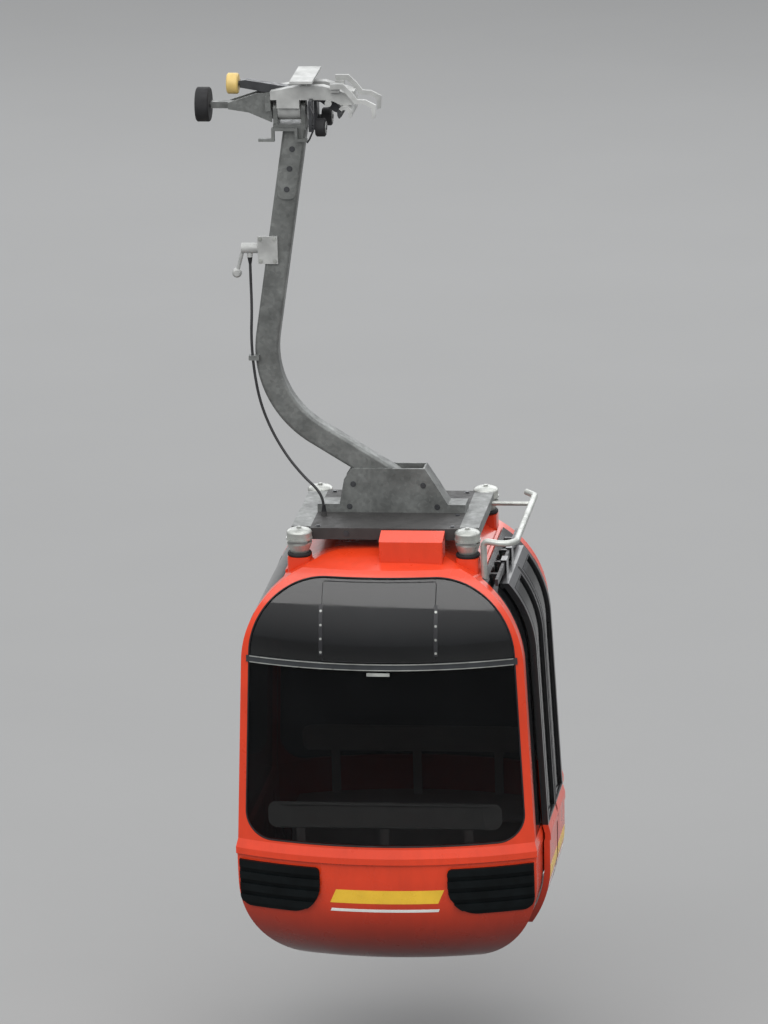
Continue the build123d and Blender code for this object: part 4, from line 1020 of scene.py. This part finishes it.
# %% Rubber rings, domes and cap nuts
DAMPERS = [(CABIN_X + sx * 0.420, sy * 0.390) for sx in (-1, 1) for sy in (-1, 1)]
DAMPER_FOOT_Z, DAMPER_CAP_Z = -2.176, -2.036
RING = [(0.0430, 0.0), (0.0560, 0.0), (0.0600, 0.005), (0.0600, 0.014), (0.0560, 0.019), (0.0460, 0.019),
        (0.0430, 0.0)]  # radius, height
DOME_R, DOME_LOW, DOME_RISE, DOME_STEPS, DOME_SQUARE = 0.0635, -0.003, 0.0215, 9, 0.8
TURN_SIDES, CAP_NUT_R, CAP_NUT_H = 40, 0.011, 0.007
rings = bmesh.new()
for x, y in DAMPERS:
    add_turned(rings, RING, (x, y, DAMPER_FOOT_Z), segments=TURN_SIDES)
keep_form("damper_rings", rings, "carrier", "black_rubber")
domes = bmesh.new()
for x, y in DAMPERS:
    line = [(0.0, DOME_LOW), (DOME_R, DOME_LOW)]
    for i in range(DOME_STEPS):
        a = math.pi / 2 * i / DOME_STEPS
        line.append((DOME_R * math.cos(a) ** DOME_SQUARE, DOME_RISE * math.sin(a)))
    line.append((0.0, DOME_RISE))
    add_turned(domes, line, (x, y, DAMPER_CAP_Z - DOME_RISE), segments=TURN_SIDES)
keep_form("damper_domes", domes, "carrier", "silver", smooth=50.0)
nuts = [((x, y, DAMPER_CAP_Z), (0, 0, 1)) for x, y in DAMPERS]
bolts("damper_nuts", nuts, CAP_NUT_R, CAP_NUT_H, "carrier", "silver")
print("dampers:", len(DAMPERS))

# %% [markdown]
# ## The hanger's fastenings
# The hanger's head, foot and lever plate are bolted, and the tongues and the foot are welded to
# the tube. Bolt places come from short rows. Both faces of the hanger get the same, apart from the
# lever's plate, which is on one face.

# %% Bolts and welds on the hanger
PLATE_Y, TUBE_Y = 0.060, 0.0490
TOP_X, TOP_Z, LEAN = -0.2575, -0.095, 0.1628
TONGUE_BOLT_Z, TONGUE_HALF = (-0.190, -0.290, -0.395), 0.046
FOOT_BOLTS = ((-0.019, -1.904), (0.332, -1.909), (-0.040, -2.020), (0.400, -2.020))  # x, z
LEVER_BOLTS = [(x, z) for x in (-0.448, -0.376) for z in (-0.761, -0.649)]
DECK_BOLTS = [(CABIN_X + sx * 0.335, sy * y) for sx in (-1, 1) for sy in (-1, 1) for y in (0.100, 0.310)]
DECK_TOP_Z, LIP_Y, LIP_BOLT_X, LIP_BOLT_Z = -2.050, 0.345, 0.190, -2.078
BOLT_SIZE, LEVER_BOLT_SIZE = (0.010, 0.006), (0.007, 0.005)  # radius, height
TONGUE_WELD_Z, FOOT_WELD = (-0.120, -0.410), ((-0.022, -1.8265), (0.178, -1.8245))
WELD_PITCH, WELD_R = 0.006, 0.0042
hanger_rows = []
for side in (-1, 1):
    way = (0, side, 0)
    for z in TONGUE_BOLT_Z:
        hanger_rows.append(((TOP_X + LEAN * (z - TOP_Z), side * PLATE_Y, z), way))
    hanger_rows += [((x, side * PLATE_Y, z), way) for x, z in FOOT_BOLTS]
    hanger_rows += [((CABIN_X + x, side * LIP_Y, LIP_BOLT_Z), way) for x in (-LIP_BOLT_X, LIP_BOLT_X)]
hanger_rows += [((x, y, DECK_TOP_Z), (0, 0, 1)) for x, y in DECK_BOLTS]
bolts("hanger_bolts", hanger_rows, *BOLT_SIZE, "carrier", "dark_steel")
lever_rows = [((x, -PLATE_Y, z), (0, -1, 0)) for x, z in LEVER_BOLTS]
bolts("lever_bolts", lever_rows, *LEVER_BOLT_SIZE, "carrier", "silver")
weld_lines = []
for side in (-1, 1):
    for sign in (-1, 1):
        line = []
        for z in TONGUE_WELD_Z:
            line.append((TOP_X + LEAN * (z - TOP_Z) + sign * TONGUE_HALF, side * TUBE_Y, z))
        weld_lines.append((line, False))
    weld_lines.append(([(x, side * TUBE_Y, z) for x, z in FOOT_WELD], False))
welds = lines_mesh("hanger_welds", weld_lines)
grow("hanger_welds", welds, blobs, {"Pitch": WELD_PITCH, "Radius": WELD_R}, "carrier", "galvanised")
print("hanger bolts:", len(hanger_rows))

# %% [markdown]
# ## The grip's small parts
# Each wheel has a ring of screws round its pin, and a bent black rod guards the front wheel. The
# rings ride on the wheels, so they turn with them; the rod rides on the grip.

# %% Wheel rings and guard rod
WHEELS = (
    # body, centre of the outer face, way out, ring's outer radius, screws
    ("outer_roller", (-0.750, 0.0, 0.022), -1, 0.044, 6),
    ("front_roller", (-0.093, -0.118, -0.066), 1, 0.030, 4),
    ("rear_roller", (-0.093, 0.118, -0.066), 1, 0.030, 4),
)
RING_HOLE_R, RING_T, RING_SINK, RING_BEVEL, RING_EDGE = 0.0150, 0.0022, 0.001, 0.001, 0.6
RING_SCREW_R, RING_SCREW_H = 0.0030, 0.0018
for body, center, way, radius, count in WHEELS:
    form = bmesh.new()
    line = [(RING_HOLE_R, -RING_SINK), (radius, -RING_SINK), (radius, RING_T * RING_EDGE),
            (radius - RING_BEVEL, RING_T), (RING_HOLE_R, RING_T), (RING_HOLE_R, -RING_SINK)]
    add_turned(form, line, center, (way, 0, 0), TURN_SIDES)
    keep_form(f"{body}_ring", form, body, "cast_light")
    mid = 0.5 * (RING_HOLE_R + radius)
    rows = []
    for i in range(count):
        a = 2 * math.pi * i / count
        x, y, z = center
        rows.append(((x + way * RING_T, y + mid * math.cos(a), z + mid * math.sin(a)), (way, 0, 0)))
    bolts(f"{body}_screws", rows, RING_SCREW_R, RING_SCREW_H, body, "dark_steel")
ROD = ((-0.168, -0.138, 0.052), (-0.160, -0.160, 0.044), (-0.146, -0.174, 0.016), (-0.140, -0.176, -0.030),
       (-0.150, -0.176, -0.072), (-0.168, -0.176, -0.112), (-0.181, -0.176, -0.130))
ROD_R = 0.0045
sweep_bead("grip_rod", [(ROD, False)], ROD_R, "grip", "black_paint")
print("wheel rings:", len(WHEELS))

# %% [markdown]
# ## Inside the cabin
# Little shows through the dark glass: the back rail of the bench, with a pale line along its top
# and its foot. A ribbed mat lies on the floor and shows when the doors are open. Its ribs are one
# node tree: a line of bars between two points.

# %% Bench lines and floor mat
RAIL_LINE_Z, RAIL_LINE_X, RAIL_LINE_Y, RAIL_LINE_R = (-3.394, -3.509), 0.520, 0.6535, 0.003
MAT_X, MAT_Y, MAT_Z, RIB_W, RIB_H, RIBS = 0.480, 0.300, -4.112, 0.012, 0.004, 28


def rib_tree():
    """Evenly spaced bars from one point to another."""
    tree, start, end = new_tree(
        "mat_ribs",
        (("Count", "NodeSocketInt"), ("From", "NodeSocketVector"), ("To", "NodeSocketVector"),
         ("Rib", "NodeSocketVector"), ("Finish", "NodeSocketMaterial")),
    )
    line = tree.nodes.new("GeometryNodeMeshLine")
    line.mode = "END_POINTS"
    bar = tree.nodes.new("GeometryNodeMeshCube")
    lay = tree.nodes.new("GeometryNodeInstanceOnPoints")
    chain(
        tree, (start, "Count", line, "Count"), (start, "From", line, "Start Location"),
        (start, "To", line, "Offset"), (start, "Rib", bar, "Size"),
        (line, "Mesh", lay, "Points"), (bar, "Mesh", lay, "Instance"),
    )
    return close_tree(tree, start, lay, end)


ribs = lines_mesh("floor_mat", [(((0, 0, MAT_Z),), False)])
rib_sizes = {
    "Count": RIBS, "From": (CABIN_X - MAT_X, 0.0, MAT_Z), "To": (CABIN_X + MAT_X, 0.0, MAT_Z),
    "Rib": (RIB_W, 2 * MAT_Y, 2 * RIB_H),
}
grow("floor_mat", ribs, rib_tree(), rib_sizes, "carrier", "black_rubber", smooth=20.0)
rail_lines = []
for _, side in ENDS:
    for z in RAIL_LINE_Z:
        ends = [(CABIN_X + sign * RAIL_LINE_X, side * RAIL_LINE_Y, z) for sign in (-1, 1)]
        rail_lines.append((ends, False))
sweep_bead("bench_lines", rail_lines, RAIL_LINE_R, "carrier", "cast_light")
print("mat ribs:", RIBS)

# %% [markdown]
# ## Studio
# A pale floor lies below the hanging cabin, so that it reads as hanging. The light is that of a
# bright overcast sky: three broad lamps, one in front, one overhead and one behind, and a world
# that is brightest at the top. The front lamp stands high, so it shows in the arched panes alone,
# leaves upright glass dark and puts a pale glare on whatever faces up.

# %% Floor, lamps and world
FLOOR_DROP = 0.60
FLOOR_HALF = 120.0
LAMPS = (
    # name, place, width and height, radiance, colour
    ("front_sky", (-1.1, -7.4, 6.0), (18.0, 6.0), 2.6, (1.0, 0.99, 0.98)),
    ("top_sky", (0.5, 1.5, 7.0), (9.0, 7.0), 0.8, (1.0, 0.99, 0.98)),
    ("back_sky", (2.0, 20.0, 6.0), (40.0, 9.0), 1.8, (0.97, 0.98, 1.0)),
)
FLOOR_COLOR = (0.25, 0.25, 0.247)
WORLD_STOPS = ((0.0, (0.45, 0.46, 0.48)), (0.35, (0.95, 0.96, 0.98)), (0.80, (1.45, 1.47, 1.50)))


def add_floor():
    """A wide square under the cabin."""
    f = Finish("pale_floor", 0.9, Specular_IOR_Level=0.2)
    f.color(f.ramp(f.noise(0.8), (0.2, times(FLOOR_COLOR, 0.97)), (0.8, FLOOR_COLOR)))
    z = cad_box[0][2] - FLOOR_DROP
    mesh = bpy.data.meshes.new("studio_floor")
    h = FLOOR_HALF
    mesh.from_pydata([(-h, -h, z), (h, -h, z), (h, h, z), (-h, h, z)], [], [(0, 1, 2, 3)])
    floor = bpy.data.objects.new("studio_floor", mesh)
    bpy.context.scene.collection.objects.link(floor)
    mesh.materials.append(f.material)


def add_lamp(name, place, size, radiance, color):
    """A soft rectangular lamp that faces the middle of the cabin; its power follows its area."""
    data = bpy.data.lights.new(name, "AREA")
    data.shape = "RECTANGLE"
    data.size, data.size_y = size
    data.energy = radiance * math.pi * size[0] * size[1]
    data.color = color
    lamp = bpy.data.objects.new(name, data)
    bpy.context.scene.collection.objects.link(lamp)
    turn = (aim_point - Vector(place)).to_track_quat("-Z", "Y").to_matrix().to_4x4()
    lamp.matrix_world = Matrix.Translation(place) @ turn


def add_world():
    """A world that is bright overhead and dim towards the horizon."""
    world = bpy.data.worlds.new("studio_world")
    bpy.context.scene.world = world
    world.use_nodes = True
    tree = world.node_tree
    background = tree.nodes["Background"]
    place = tree.nodes.new("ShaderNodeTexCoord")
    axes = tree.nodes.new("ShaderNodeSeparateXYZ")
    ramp = tree.nodes.new("ShaderNodeValToRGB")
    ramp.color_ramp.elements.new(0.5)
    for stop, (position, color) in zip(ramp.color_ramp.elements, WORLD_STOPS):
        stop.position = position
        stop.color = (*color, 1.0)
    tree.links.new(place.outputs["Generated"], axes.inputs["Vector"])
    tree.links.new(axes.outputs["Z"], ramp.inputs["Fac"])
    tree.links.new(ramp.outputs["Color"], background.inputs["Color"])
    background.inputs["Strength"].default_value = 1.0


bpy.context.scene.view_settings.view_transform = "Standard"
add_floor()
add_world()
for row in LAMPS:
    add_lamp(*row)
print("lamps:", len(LAMPS))

triangles = {piece.name: sum(len(f.vertices) - 2 for f in piece.data.polygons) for piece in added}
print("added triangles:", sum(triangles.values()), "largest:", max(triangles, key=triangles.get))
